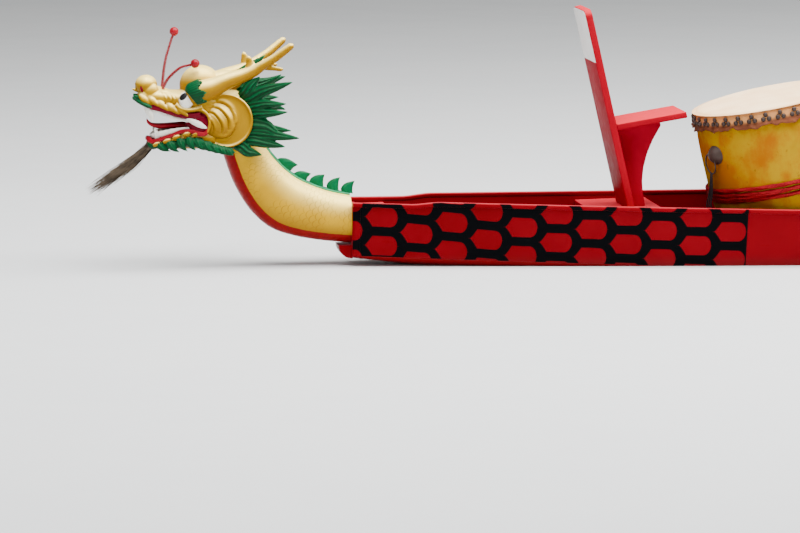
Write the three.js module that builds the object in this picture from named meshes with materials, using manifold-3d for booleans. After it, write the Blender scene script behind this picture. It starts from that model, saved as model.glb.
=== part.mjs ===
// A wooden racing boat for twenty paddlers, with a carved dragon head and tail, a drum, a drummer's
// seat and a steering oar. Millimetres. +X is towards the bow, +Y to port and +Z up; the origin is
// on the centreline amidships, at the waterline.
import * as THREE from "three";
import { mergeVertices } from "three/addons/utils/BufferGeometryUtils.js";
import Module from "manifold-3d";

const wasm = await Module();
wasm.setup();

// Driving dimensions of the hull
const HALF_LENGTH = 5800;
const GAP = 0.3; // clearance that touching pieces keep
const SLIVER = 0.05; // edges shorter than this are closed up where solids are joined or cut
const MID_BEAM = 560; // half breadth at the rail, amidships
const END_BEAM = 96; // half breadth at each end
const BEAM_POWER = 2.15;
const SHEER_MID = 172;
const SHEER_RISE = 82;
const END_STEP = 12; // how much lower the rail runs at the very ends
const STEP_AT = 290; // where that step is, from each end
const STEP_LENGTH = 130;
const KEEL_MID = -190;
const KEEL_RISE = 220;
const CHINE_MID = -90;
const CHINE_RISE = 135;
const CHINE_SHARE = 0.87; // breadth at the chine over breadth at the rail
const PLANK = 18;
const RAIL = { above: 18, outboard: 9, inboard: 20 };
const END_BOARD = 30;

// Benches, thwarts and decks, by their distance from the bow end
const BENCH = { count: 10, first: 2750, spacing: 725, depth: 220, thick: 28, below: 45, post: 44 };
const SEAT_THWART = { from: 960, to: 1262, top: 214, thick: 26 };
const FOREDECK_LENGTH = 150;
const AFT_DECK_LENGTH = 190;
const PLATFORM = { from: 9950, to: 10850, above: 45, thick: 20 };

// The drummer's seat leans towards the bow, and the drum leans with it
const DRUM_LEAN = THREE.MathUtils.degToRad(11.4);
const SEAT_LEAN = THREE.MathUtils.degToRad(12.9);
const BACKBOARD = { at: 1128, wide: 250, thick: 28, top: 826, corner: 30 };
const SEAT_BOARD = { wide: 250, length: 288, thick: 25, height: 352, droop: THREE.MathUtils.degToRad(3.7) };
const WEB = { thick: 26, foot: 62, waist: 92, reach: 195 };
const DRUM = { at: 1830, bottom: 123, height: 535, skin: 8 };
const DRUM_SIDES = 24;

// The carved pieces, in millimetres forward of the bow end and above the water
const LIMB_SIDES = 10;

const PAINT = {
  red: [0xc4101e, 0.35],
  gold: [0xd9a520, 0.4],
  green: [0x0f7a3c, 0.4],
  white: [0xf0eee6, 0.4],
  black: [0x151515, 0.4],
  skin: [0xe6cfae, 0.7],
  barrel: [0xd6a50c, 0.35],
  rope: [0xa81420, 0.8],
  hair: [0x5a4a3c, 0.9],
  wood: [0x9a6b3c, 0.6],
  steel: [0x8a8d90, 0.35],
};

// Solids

function solidOf(geometry) {
  const g = geometry.clone();
  g.deleteAttribute("normal");
  g.deleteAttribute("uv");
  const merged = mergeVertices(g, 1e-3);
  const made = new wasm.Manifold(
    new wasm.Mesh({
      numProp: 3,
      vertProperties: new Float32Array(merged.attributes.position.array),
      triVerts: new Uint32Array(merged.index.array),
    }),
  );
  return made;
}

function geometryOf(solid) {
  const mesh = solid.getMesh();
  const points = new Float32Array(mesh.numVert * 3);
  for (let i = 0; i < mesh.numVert; i++) {
    points.set(mesh.vertProperties.subarray(i * mesh.numProp, i * mesh.numProp + 3), i * 3);
  }
  const g = new THREE.BufferGeometry();
  g.setAttribute("position", new THREE.BufferAttribute(points, 3));
  g.setIndex(new THREE.BufferAttribute(mesh.triVerts, 1));
  g.computeVertexNormals();
  return g;
}

const joined = (solids) => solids.reduce((a, b) => a.add(b)).simplify(SLIVER);

// What is left of a solid once its neighbours are cut away: its largest piece.
function fitted(solid, neighbours) {
  const rest = neighbours.reduce((a, b) => a.subtract(b), solid);
  const bodies = rest.decompose();
  return bodies.reduce((a, b) => (a.volume() > b.volume() ? a : b)).simplify(SLIVER);
}

// Rings of as many points each, joined into one closed skin with flat ends.
function loft(rings) {
  const n = rings[0].length;
  const points = rings.flat();
  const faces = [];
  const cap = (ring, start, backwards) => {
    const flat = flatten(ring);
    for (const [a, b, c] of THREE.ShapeUtils.triangulateShape(flat, [])) {
      const leftTurn = flat[b].clone().sub(flat[a]).cross(flat[c].clone().sub(flat[a])) > 0;
      const corners = leftTurn === backwards ? [a, c, b] : [a, b, c];
      faces.push(corners.map((k) => start + k));
    }
  };
  for (let r = 0; r + 1 < rings.length; r++) {
    for (let i = 0; i < n; i++) {
      const a = r * n + i;
      const b = r * n + ((i + 1) % n);
      faces.push([a, b, b + n], [a, b + n, a + n]);
    }
  }
  cap(rings[0], 0, true);
  cap(rings.at(-1), n * (rings.length - 1), false);
  return solidOf(closedSkin(points, faces));
}

// A ring's points in its own plane, running to the left round it.
function flatten(ring) {
  const centre = ring.reduce((a, b) => a.clone().add(b), new THREE.Vector3()).divideScalar(ring.length);
  const arms = ring.map((p) => p.clone().sub(centre));
  const normal = new THREE.Vector3();
  arms.forEach((p, i) => normal.add(new THREE.Vector3().crossVectors(p, arms[(i + 1) % arms.length])));
  const u = arms[1].clone().sub(arms[0]).normalize();
  const v = normal.normalize().cross(u);
  return arms.map((p) => new THREE.Vector2(p.dot(u), p.dot(v)));
}

function closedSkin(points, faces) {
  let volume = 0;
  for (const [a, b, c] of faces) {
    volume += points[a].dot(new THREE.Vector3().crossVectors(points[b], points[c]));
  }
  const outward = volume < 0 ? faces.map(([a, b, c]) => [a, c, b]) : faces;
  const g = new THREE.BufferGeometry();
  g.setAttribute("position", new THREE.Float32BufferAttribute(points.flatMap((p) => p.toArray()), 3));
  g.setIndex(outward.flat());
  return g;
}

// A body carried along a path of rows [x, y, z, half width along Y, half height across the path].
// grow makes it larger all round, for cutting a seat with clearance.
function limb(rows, grow = 0, sides = LIMB_SIDES) {
  const at = rows.map(([x, y, z]) => new THREE.Vector3(x, y, z));
  const rings = rows.map(([, , , w, h], i) => {
    const along = at[Math.min(i + 1, at.length - 1)].clone().sub(at[Math.max(i - 1, 0)]).normalize();
    const side = new THREE.Vector3(0, 1, 0).addScaledVector(along, -along.y).normalize();
    const up = new THREE.Vector3().crossVectors(along, side);
    const end = i === 0 ? -grow : i === at.length - 1 ? grow : 0;
    const centre = at[i].clone().addScaledVector(along, end);
    return Array.from({ length: sides }, (_, k) => {
      const turn = ((k + 0.5) / sides) * 2 * Math.PI;
      return centre
        .clone()
        .addScaledVector(side, (w + grow) * Math.cos(turn))
        .addScaledVector(up, (h + grow) * Math.sin(turn));
    });
  });
  return loft(rings);
}

function ellipsoid([x, y, z], [rx, ry, rz], grow = 0, detail = 14) {
  const g = new THREE.SphereGeometry(1, detail, Math.round(detail * 0.6));
  g.scale(rx + grow, ry + grow, rz + grow);
  g.translate(x, y, z);
  return solidOf(g);
}

function box([x0, x1], [y0, y1], [z0, z1]) {
  const g = new THREE.BoxGeometry(x1 - x0, y1 - y0, z1 - z0);
  g.translate((x0 + x1) / 2, (y0 + y1) / 2, (z0 + z1) / 2);
  return solidOf(g);
}

// An outline in the XZ plane, made a plate of a given thickness across Y.
function plate(outline, thick, y = 0) {
  const shape = new THREE.Shape(outline.map(([x, z]) => new THREE.Vector2(x, z)));
  const g = new THREE.ExtrudeGeometry(shape, { depth: thick, bevelEnabled: false });
  g.rotateX(Math.PI / 2);
  g.translate(0, y + thick / 2, 0);
  return solidOf(g);
}

// A cylinder of radius r from one height to another, its axis along Z, X or Y.
function rod(r, from, to, axis = "z", sides = 16) {
  const g = new THREE.CylinderGeometry(r, r, to - from, sides);
  g.translate(0, (from + to) / 2, 0);
  if (axis === "z") g.rotateX(Math.PI / 2);
  if (axis === "x") g.rotateZ(-Math.PI / 2);
  return solidOf(g);
}

function turned(profile, sides = DRUM_SIDES) {
  const points = profile.map(([r, z]) => new THREE.Vector2(r, z));
  const g = new THREE.LatheGeometry(points, sides);
  g.rotateX(Math.PI / 2);
  const solid = solidOf(g);
  return solid.volume() < 0 ? solidOf(flipped(g)) : solid;
}

function flipped(geometry) {
  const g = geometry.index ? geometry.clone() : mergeVertices(geometry);
  const order = Array.from(g.index.array);
  for (let i = 0; i < order.length; i += 3) [order[i + 1], order[i + 2]] = [order[i + 2], order[i + 1]];
  g.setIndex(order);
  return g;
}

const boat = new THREE.Group();

function add(name, paint, solid, parent = boat) {
  const [color, roughness] = PAINT[paint];
  const metalness = paint === "steel" ? 0.8 : 0;
  const mesh = new THREE.Mesh(
    geometryOf(solid),
    new THREE.MeshStandardMaterial({ color, roughness, metalness }),
  );
  mesh.name = name;
  parent.add(mesh);
  return mesh;
}

// The hull's lines, each a function of the distance from amidships

const share = (x) => Math.abs(x) / HALF_LENGTH;
const smooth = (t) => {
  const u = Math.min(1, Math.max(0, t));
  return u * u * (3 - 2 * u);
};
const beam = (x) => MID_BEAM - (MID_BEAM - END_BEAM) * share(x) ** BEAM_POWER;
const sheer = (x) => {
  const fromEnd = HALF_LENGTH - Math.abs(x);
  const step = END_STEP * (1 - smooth((fromEnd - STEP_AT) / STEP_LENGTH + 0.5));
  return SHEER_MID + SHEER_RISE * share(x) ** 2 - step;
};
const keel = (x) => KEEL_MID + KEEL_RISE * share(x) ** 3.5;
const chine = (x) => CHINE_MID + CHINE_RISE * share(x) ** 1.6;
const chineBeam = (x) => CHINE_SHARE * beam(x);

// Stations along the hull, closer together where the rail steps and at the ends.
const SHELL_END = HALF_LENGTH - END_BOARD;
const FORWARD_STATIONS = [0, 900, 1800, 2600, 3300, 3900, 4400, 4850, 5200, 5445, 5490, 5530, 5575, 5680];
const STATIONS = [...FORWARD_STATIONS.map((x) => -x).reverse(), ...FORWARD_STATIONS.slice(1)];
const HULL_STATIONS = [-SHELL_END, ...STATIONS, SHELL_END];
const RAIL_STATIONS = [-HALF_LENGTH, ...STATIONS, HALF_LENGTH];
const BOTTOM_SHARES = [-1, -0.9, -0.74, -0.45, 0, 0.45, 0.74, 0.9, 1];

// The planks are four lengths, which meet under benches, from one place along the hull to another.
const LENGTHS = {
  fore: [3050, SHELL_END],
  mid_fore: [150, 3050],
  mid_aft: [-2750, 150],
  aft: [-SHELL_END, -2750],
};
const lengthOf = (solid, [from, to]) =>
  solid.intersect(box([from + GAP / 2, to - GAP / 2], [-700, 700], [-400, 500]));

function sidePlank(port, grow = 0) {
  const s = port ? 1 : -1;
  return loft(
    HULL_STATIONS.map((x) =>
      [
        [beam(x) + grow, sheer(x) + grow],
        [chineBeam(x) + grow, chine(x) + GAP - grow],
        [chineBeam(x) - PLANK - grow, chine(x) + GAP - grow],
        [beam(x) - PLANK - grow, sheer(x) + grow],
      ].map(([y, z]) => new THREE.Vector3(x, s * y, z)),
    ),
  );
}

const bottomHeight = (x, u, lift) => keel(x) + lift + (chine(x) - keel(x) - lift) * Math.abs(u) ** 3;

function bottomPlanks(grow = 0) {
  const ring = (x) => {
    const outer = BOTTOM_SHARES.map((u) => [u * (chineBeam(x) + grow), bottomHeight(x, u, 0) - grow]);
    const inner = BOTTOM_SHARES.map((u) => [
      u * (chineBeam(x) - PLANK - grow),
      bottomHeight(x, u, PLANK) + grow,
    ]).reverse();
    return [...outer, ...inner].map(([y, z]) => new THREE.Vector3(x, y, z));
  };
  return loft(HULL_STATIONS.map(ring));
}

// The board that closes each end, with the rounded forefoot below the neck or the tail.
function endBoard(bow) {
  const s = bow ? 1 : -1;
  const x = s * HALF_LENGTH;
  const across = (at) =>
    [
      ...BOTTOM_SHARES.map((u) => [u * chineBeam(at), bottomHeight(at, u, 0)]),
      [beam(at), sheer(at)],
      [-beam(at), sheer(at)],
    ].map(([y, z]) => new THREE.Vector3(at, y, z));
  const board = loft([across(s * (SHELL_END + GAP)), across(x)]);
  const foot = keel(x);
  const curve = Array.from({ length: 7 }, (_, i) => {
    const turn = (i / 6) * (Math.PI / 2);
    return [x + s * FOREFOOT.reach * Math.cos(turn), FOREFOOT.top - (FOREFOOT.top - foot) * Math.sin(turn)];
  });
  const outline = [[x - s * 5, FOREFOOT.top], ...curve, [x - s * 5, foot]];
  return board.add(plate(outline, FOREFOOT.wide));
}
const FOREFOOT = { reach: 50, top: 82, wide: 110 };

function rail(port) {
  const s = port ? 1 : -1;
  return loft(
    RAIL_STATIONS.map((x) =>
      [
        [beam(x) + RAIL.outboard, sheer(x) + GAP],
        [beam(x) - RAIL.inboard, sheer(x) + GAP],
        [beam(x) - RAIL.inboard, sheer(x) + RAIL.above],
        [beam(x) + RAIL.outboard, sheer(x) + RAIL.above],
      ].map(([y, z]) => new THREE.Vector3(x, s * y, z)),
    ),
  );
}

// The timber that runs along the inside of the bottom planks.
function keelson(grow = 0) {
  const { wide, high, sunk } = KEELSON;
  return loft(
    STATIONS.filter((x) => Math.abs(x) < 4900).map((x) => {
      const floor = bottomHeight(x, 0, PLANK);
      return [
        [-wide / 2 - grow, floor - sunk],
        [wide / 2 + grow, floor - sunk],
        [wide / 2 + grow, floor + high + grow],
        [-wide / 2 - grow, floor + high + grow],
      ].map(([y, z]) => new THREE.Vector3(x, y, z));
    }),
  );
}
const KEELSON = { wide: 80, high: 26, sunk: 5 };

const hullSkins = [sidePlank(true, GAP), sidePlank(false, GAP), bottomPlanks(GAP)];

// A board across the inside of the hull, its ends cut to the planks. Distances are from the bow end.
function crossBoard(from, to, top, thick) {
  const x0 = HALF_LENGTH - to;
  const x1 = HALF_LENGTH - from;
  const reach = Math.max(beam(x0), beam(x1)) - PLANK / 2;
  return fitted(box([x0, x1], [-reach, reach], [top - thick, top]), hullSkins);
}

function buildHull() {
  for (const [place, span] of Object.entries(LENGTHS)) {
    add(`hull_bottom_${place}`, "red", lengthOf(bottomPlanks(), span));
    add(`hull_side_port_${place}`, "red", lengthOf(sidePlank(true), span));
    add(`hull_side_starboard_${place}`, "red", lengthOf(sidePlank(false), span));
  }
  add("bow_board", "red", endBoard(true));
  add("stern_board", "red", endBoard(false));
  add("rail_port", "red", rail(true));
  add("rail_starboard", "red", rail(false));
  const deckEnd = END_BOARD + GAP;
  const deckTop = sheer(HALF_LENGTH - FOREDECK_LENGTH) - 2;
  add("foredeck", "red", crossBoard(deckEnd + GAP, FOREDECK_LENGTH, deckTop, 16));
  const full = 2 * HALF_LENGTH;
  const aftTop = sheer(AFT_DECK_LENGTH - HALF_LENGTH) - 2;
  add("aft_deck", "red", crossBoard(full - AFT_DECK_LENGTH, full - deckEnd - GAP, aftTop, 16));
  const platformTop = keel(HALF_LENGTH - PLATFORM.to) + PLATFORM.above + PLANK;
  const platform = crossBoard(PLATFORM.from, PLATFORM.to, platformTop, PLATFORM.thick);
  add("steering_platform", "wood", platform);
  const all = benches();
  const half = BENCH.count / 2;
  const middle = HALF_LENGTH - BENCH.first - (half - 0.5) * BENCH.spacing;
  const timbers = { fore: [middle, SHELL_END], aft: [-SHELL_END, middle] };
  for (const [place, span] of Object.entries(timbers)) {
    const mine = place === "fore" ? all.slice(0, half) : all.slice(half);
    add(`benches_${place}`, "red", fitted(joined([lengthOf(keelson(), span), ...mine]), hullSkins));
  }
}

// The benches, each with a post under its middle that stands on the keelson.
function benches() {
  return Array.from({ length: BENCH.count }, (_, i) => {
    const centre = BENCH.first + i * BENCH.spacing;
    const x = HALF_LENGTH - centre;
    const top = sheer(x) - BENCH.below;
    const bench = crossBoard(centre - BENCH.depth / 2, centre + BENCH.depth / 2, top, BENCH.thick);
    const half = BENCH.post / 2;
    const post = box([x - half, x + half], [-half, half], [bottomHeight(x, 0, PLANK) + 10, top - 5]);
    return bench.add(post);
  });
}

// The drummer's seat: a backboard that leans on a thwart, a board to sit on and a web under it.
function buildDrummerSeat() {
  const { from, to, top, thick } = SEAT_THWART;
  add("seat_thwart", "red", crossBoard(from, to, top, thick));
  const seat = new THREE.Group();
  seat.position.set(HALF_LENGTH - BACKBOARD.at, 0, top);
  seat.rotation.y = SEAT_LEAN;
  boat.add(seat);
  const foot = (x) => GAP / Math.cos(SEAT_LEAN) + x * Math.tan(SEAT_LEAN);
  const half = BACKBOARD.thick / 2;
  const [w, c] = [BACKBOARD.wide / 2, BACKBOARD.corner];
  const face = [
    [-half, foot(-half)],
    [half, foot(half)],
    [half, BACKBOARD.top],
    [-half, BACKBOARD.top],
  ];
  const corners = [1, -1].map((s) =>
    loft(
      [-half - 1, half + 1].map((x) => [
        new THREE.Vector3(x, s * (w - c), BACKBOARD.top + 1),
        new THREE.Vector3(x, s * (w + 1), BACKBOARD.top - c),
        new THREE.Vector3(x, s * (w + 1), BACKBOARD.top + 1),
      ]),
    ),
  );
  const board = corners.reduce((a, b) => a.subtract(b), plate(face, BACKBOARD.wide));
  add("drummer_backboard", "red", board, seat);
  const front = -half - GAP;
  const { wide, length, thick: boardThick, height, droop } = SEAT_BOARD;
  const level = (x, below = 0) => height - below - (front - x) * Math.tan(droop);
  const back = front - length;
  const slab = [
    [back, level(back, boardThick)],
    [front, level(front, boardThick)],
    [front, level(front)],
    [back, level(back)],
  ];
  add("drummer_seat_board", "red", plate(slab, wide), seat);
  const under = (x) => level(x, boardThick + GAP);
  const bend = Array.from({ length: 7 }, (_, i) => {
    const t = i / 6;
    return [front - WEB.foot - (WEB.reach - WEB.foot) * t ** 2.3, foot(-WEB.foot) + (under(front) - 26) * t];
  });
  const tail = bend[6][0];
  const outline = [[front, foot(front)], [front, under(front)], [tail, under(tail)], ...bend.reverse()];
  const last = outline.at(-1);
  last[1] = foot(last[0]);
  add("drummer_seat_web", "red", plate(outline, WEB.thick), seat);
}

// The drum, in its own leaning frame with its lower end at the frame's origin.
const DRUM_PROFILE = [
  [262, 0],
  [285, 60],
  [303, 120],
  [313, 200],
  [318, 300],
  [321, 400],
  [318, 480],
  [312, 535],
];
const ROPE = { start: 172, turns: 3, strand: 22 };
const drumRadius = (h) => {
  const i = Math.max(1, DRUM_PROFILE.findIndex(([, z]) => z >= h));
  const [[r0, z0], [r1, z1]] = [DRUM_PROFILE[i - 1], DRUM_PROFILE[i]];
  return r0 + ((r1 - r0) * (h - z0)) / (z1 - z0);
};

function drumSkin(end, rim, reach, inner) {
  const s = end > 0 ? 1 : -1;
  const flat = end + s * DRUM.skin;
  const lap = end - s * reach;
  return turned([
    [0, end + s * GAP],
    [inner + GAP, end + s * GAP],
    [drumRadius(lap) + GAP + 1, lap],
    [drumRadius(lap) + rim, lap],
    [inner + rim, end - s * 4],
    [inner, flat],
    [0, flat],
  ]);
}

function buildDrum() {
  const drum = new THREE.Group();
  drum.position.set(HALF_LENGTH - DRUM.at, 0, DRUM.bottom);
  drum.rotation.y = DRUM_LEAN;
  boat.add(drum);
  const wall = 16;
  const inside = DRUM_PROFILE.map(([r, z]) => [r - wall, z]).reverse();
  const barrel = turned([...DRUM_PROFILE, ...inside, DRUM_PROFILE[0]]);
  add("drum_barrel", "barrel", barrel, drum);
  const topRim = DRUM_PROFILE.at(-1)[0];
  add("drum_head_top", "skin", drumSkin(DRUM.height, 9, 66, topRim), drum);
  const base = DRUM_PROFILE[0][0];
  const lowSkin = turned([
    [0, -GAP],
    [base - 2, -GAP],
    [base - 2, -DRUM.skin],
    [0, -DRUM.skin],
  ]);
  add("drum_head_bottom", "skin", lowSkin, drum);
  const { start, turns, strand } = ROPE;
  const outer = [];
  for (let i = 0; i < turns; i++) {
    for (const [out, up] of [[7, 0.5], [strand, strand * 0.3], [strand, strand * 0.7]]) {
      const h = start + i * strand + up;
      outer.push([drumRadius(h) + GAP + out, h]);
    }
  }
  const top = start + turns * strand;
  const inner = [[drumRadius(top) + 1, top], [drumRadius(top) + 1, start]];
  add("drum_rope", "rope", turned([...outer, ...inner, outer[0]]), drum);

  // The stand is a tilted board on two bearers that reach down to the bottom planks.
  const tilt = new THREE.Matrix4().makeRotationY(DRUM_LEAN).setPosition(HALF_LENGTH - DRUM.at, 0, DRUM.bottom);
  const placed = (lx, ly, lz) => {
    const g = new THREE.BoxGeometry(lx[1] - lx[0], ly, lz[1] - lz[0]);
    g.translate((lx[0] + lx[1]) / 2, 0, (lz[0] + lz[1]) / 2);
    g.applyMatrix4(tilt);
    return solidOf(g);
  };
  const boardTop = -DRUM.skin - GAP;
  const board = placed([-210, 210], 400, [boardTop - 24, boardTop]);
  const bearers = [-150, 125].map((x) => placed([x, x + 26], 360, [-420, boardTop - 10]));
  add("drum_stand", "wood", fitted(joined([board, ...bearers]), [...hullSkins, keelson(GAP)]));
}

// The neck: rows of [x, z of the belly, x, z of the back, half width]. Both run from the bow board up.
const NECK_ROWS = [
  [0, 88, 0, 281, 84],
  [120, 101, 70, 295, 88],
  [230, 122, 140, 318, 92],
  [324, 158, 207, 349, 93],
  [401, 229, 260, 388, 90],
  [460, 325, 306, 436, 85],
  [499, 427, 340, 482, 80],
  [524, 520, 378, 540, 74],
];

function neck(grow = 0) {
  const rows = NECK_ROWS.map(([bx, bz, tx, tz, w]) => [
    (bx + tx) / 2,
    0,
    (bz + tz) / 2,
    w,
    Math.hypot(bx - tx, bz - tz) / 2,
  ]);
  rows[0][0] = GAP;
  const rings = rows.map(([x, , z, w, h], i) => {
    const [bx, bz, tx, tz] = NECK_ROWS[i];
    const up = new THREE.Vector3(tx - bx, 0, tz - bz).normalize();
    const start = i === 0 ? GAP : x;
    return Array.from({ length: 14 }, (_, k) => {
      const turn = ((k + 0.5) / 14) * 2 * Math.PI;
      return new THREE.Vector3(start, (w + grow) * Math.cos(turn), z).addScaledVector(
        up,
        (h + grow) * Math.sin(turn),
      );
    });
  });
  return loft(rings);
}

// A crest's fins on a low ridge. Each row is [tip out, z, root out, z, heel out, z]: the fin's rounded
// edge rises from its root to its tip, and its steep edge falls from there to its heel.
const NECK_FINS = [
  [207, 404, 292, 430, 238, 380],
  [154, 368, 228, 367, 174, 341],
  [100, 364, 164, 335, 105, 314],
  [38, 352, 94, 313, 44, 300],
  [-21, 336, 36, 300, -12, 290],
];
const FIN = { thick: 24, bulge: 10, sunk: 30 };

function fins(rows, end, bow = true) {
  const outline = [];
  const low = [];
  for (const [tx, tz, rx, rz, hx, hz] of rows) {
    const [dx, dz] = [tx - rx, tz - rz];
    const size = Math.hypot(dx, dz);
    const way = Math.sign(dx);
    outline.push([rx, rz]);
    for (const [t, out] of [[0.3, 0.85], [0.68, 0.9]]) {
      const bulge = FIN.bulge * out * way;
      outline.push([rx + dx * t - (dz / size) * bulge, rz + dz * t + (dx / size) * bulge]);
    }
    outline.push([tx, tz], [hx, hz]);
    const [bx, bz] = [hx - rx, hz - rz];
    const base = Math.hypot(bx, bz) * way;
    low.push([rx + (bz / base) * FIN.sunk, rz - (bx / base) * FIN.sunk]);
  }
  return plate([...outline, end, ...low.reverse()].map(([x, z]) => [bow ? x : -x, z]), FIN.thick);
}

// The head

const CRANIUM = [[596, 0, 730], [82, 68, 81]];
const REAR_LOBE = [[504, 0, 742], [74, 46, 46]];
const SKULL = [[505, 0, 612], [128, 100, 122]];
const NOSE = [[812, 0, 733], [44, 48, 42]];
const NOSE_BRIDGE = [[772, 0, 704], [38, 38, 27]];
const CHEEK_MASS = [[540, 74, 597], [74, 34, 70]];
const MOUTH_CORNER = [[606, 0, 584], [46, 92, 46]];
const SNOUT_ROWS = [
  [540, 0, 650, 92, 84],
  [610, 0, 660, 92, 66],
  [680, 0, 668, 80, 40],
  [745, 0, 680, 66, 36],
  [800, 0, 690, 58, 36],
  [832, 0, 694, 44, 24],
];
const CHEEK = {
  x: 506, z: 597, radius: 106, out: 100, thick: 30, rim: 14, turn: THREE.MathUtils.degToRad(14.4),
};
const JAW_ROWS = [
  [545, 0, 520, 88, 38],
  [610, 0, 518, 83, 38],
  [680, 0, 514, 71, 34],
  [745, 0, 503, 54, 22],
  [788, 0, 502, 40, 16],
  [810, 0, 512, 24, 12],
];
const HORN_ROWS = [
  [654, 71, 703, 18, 22],
  [632, 78, 704, 34, 40],
  [600, 82, 710, 41, 47],
  [545, 84, 730, 39, 39],
  [500, 84, 752, 34, 33],
  [428, 85, 777, 28, 27],
  [372, 98, 806, 21, 21],
  [313, 115, 844, 17, 17],
  [262, 129, 884, 14, 14],
  [240, 133, 900, 10, 10],
];
const UPPER_TINE = [
  [408, 86, 784, 20, 34],
  [415, 87, 824, 12, 20],
  [422, 88, 854, 6, 7],
];
const LOWER_TINE = [
  [362, 95, 815, 18, 18],
  [322, 98, 804, 11, 11],
  [280, 100, 797, 6, 6],
];

const mirrored = (rows, port) => rows.map(([x, y, z, ...rest]) => [x, port ? y : -y, z, ...rest]);

function cheek(port, grow) {
  const { x, z, radius, out, thick, rim, turn } = CHEEK;
  const profile = [
    [0, -out - grow],
    [radius - rim + grow, -out - grow],
    [radius + grow, -out + rim],
    [radius + grow, thick - out + grow],
    [0, thick - out + grow],
  ];
  const g = new THREE.LatheGeometry(profile.map(([r, h]) => new THREE.Vector2(r, h)), 20);
  g.rotateZ(port ? Math.PI - turn : turn);
  g.translate(x - out * Math.sin(turn), 0, z);
  const solid = solidOf(g);
  return solid.volume() < 0 ? solidOf(flipped(g)) : solid;
}

const cheekMass = (port, grow) => {
  const [[x, y, z], radii] = CHEEK_MASS;
  return ellipsoid([x, port ? y : -y, z], radii, grow, 14);
};

function headCore(grow = 0) {
  return joined([
    ellipsoid(...CRANIUM, grow, 16),
    ellipsoid(...REAR_LOBE, grow, 12),
    ellipsoid(...SKULL, grow, 16),
    ellipsoid(...NOSE, grow, 12),
    ellipsoid(...NOSE_BRIDGE, grow, 12),
    ellipsoid(...MOUTH_CORNER, grow, 14),
    limb(SNOUT_ROWS, grow, 12),
    ...[true, false].flatMap((port) => [cheek(port, grow), cheekMass(port, grow)]),
  ]);
}

const lowerJaw = (grow = 0) => limb(JAW_ROWS, grow, 12);

function horn(port, grow = 0) {
  return joined([
    limb(mirrored(HORN_ROWS, port), grow),
    limb(mirrored(UPPER_TINE, port), grow, 8),
    limb(mirrored(LOWER_TINE, port), grow, 8),
  ]);
}

const EYE = { x: 656, y: 74, z: 677, radius: 28 };
const eye = (port, grow = 0) =>
  ellipsoid([EYE.x, port ? EYE.y : -EYE.y, EYE.z], [EYE.radius, EYE.radius, EYE.radius], grow, 12);

// The mane's locks: [root x, z, bend x, z, tip x, z, half width at the root, y at the tip].
const MANE_LOCKS = [
  [440, 690, 405, 735, 369, 770, 24, 95],
  [445, 666, 350, 716, 241, 749, 25, 118],
  [440, 640, 350, 662, 268, 664, 20, 130],
  [440, 612, 350, 626, 263, 632, 20, 136],
  [440, 576, 350, 572, 293, 541, 31, 124],
  [445, 545, 330, 540, 215, 526, 24, 134],
  [455, 520, 350, 508, 272, 492, 22, 122],
  [470, 505, 420, 474, 364, 459, 24, 104],
];

function mane(port, grow = 0) {
  const locks = MANE_LOCKS.map(([rx, rz, bx, bz, tx, tz, w, y]) =>
    limb(
      mirrored(
        [
          [rx, 78, rz, 26, w],
          [(rx + bx) / 2, 92, (rz + bz) / 2 + 3, 20, w * 1.05],
          [bx, (y + 92) / 2, bz, 14, w * 0.8],
          [(tx + bx) / 2, y, (tz + bz) / 2, 10, w * 0.45],
          [tx, y, tz, 3, 4],
        ],
        port,
      ),
      grow,
      8,
    ),
  );
  return joined(locks);
}

const TOP_LOCKS = [
  [[478, 0, 720, 24, 30], [420, 0, 772, 18, 30], [372, 0, 815, 10, 16], [338, 0, 846, 3, 3]],
  [[470, 0, 690, 24, 34], [390, 0, 716, 18, 34], [320, 0, 742, 10, 16], [272, 0, 768, 3, 3]],
  [[462, 0, 640, 24, 44], [380, 0, 640, 18, 40], [310, 0, 640, 10, 20], [256, 0, 628, 3, 3]],
];
const topMane = (grow = 0) => joined(TOP_LOCKS.map((rows) => limb(rows, grow, 8)));

// The frill of leaves along both sides of the lower jaw, joined under the chin.
const FRILL = { front: 792, back: 486, top: 500, leaves: 8, drop: 34, thick: 16, spread: 0.16 };

function jawFrill(grow = 0) {
  const step = (FRILL.front - FRILL.back) / FRILL.leaves;
  const edge = [];
  for (let i = 0; i < FRILL.leaves; i++) {
    const x = FRILL.front - i * step;
    edge.push([x, FRILL.top - 26], [x - step * 0.75, FRILL.top - FRILL.drop - 14]);
  }
  const outline = [
    [FRILL.front, FRILL.top + grow],
    ...edge,
    [FRILL.back, FRILL.top - 26],
    [FRILL.back, FRILL.top + grow],
  ];
  const leaf = (s) => {
    const solid = plate(outline, FRILL.thick + 2 * grow);
    return solid
      .translate([-FRILL.front, 0, 0])
      .rotate([0, 0, THREE.MathUtils.radToDeg(-s * FRILL.spread)])
      .translate([FRILL.front, s * 24, 0]);
  };
  const chin = box([FRILL.front - 44, FRILL.front - 4], [-36, 36], [FRILL.top - 36, FRILL.top - 16]);
  return joined([leaf(1), leaf(-1), chin]);
}

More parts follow.
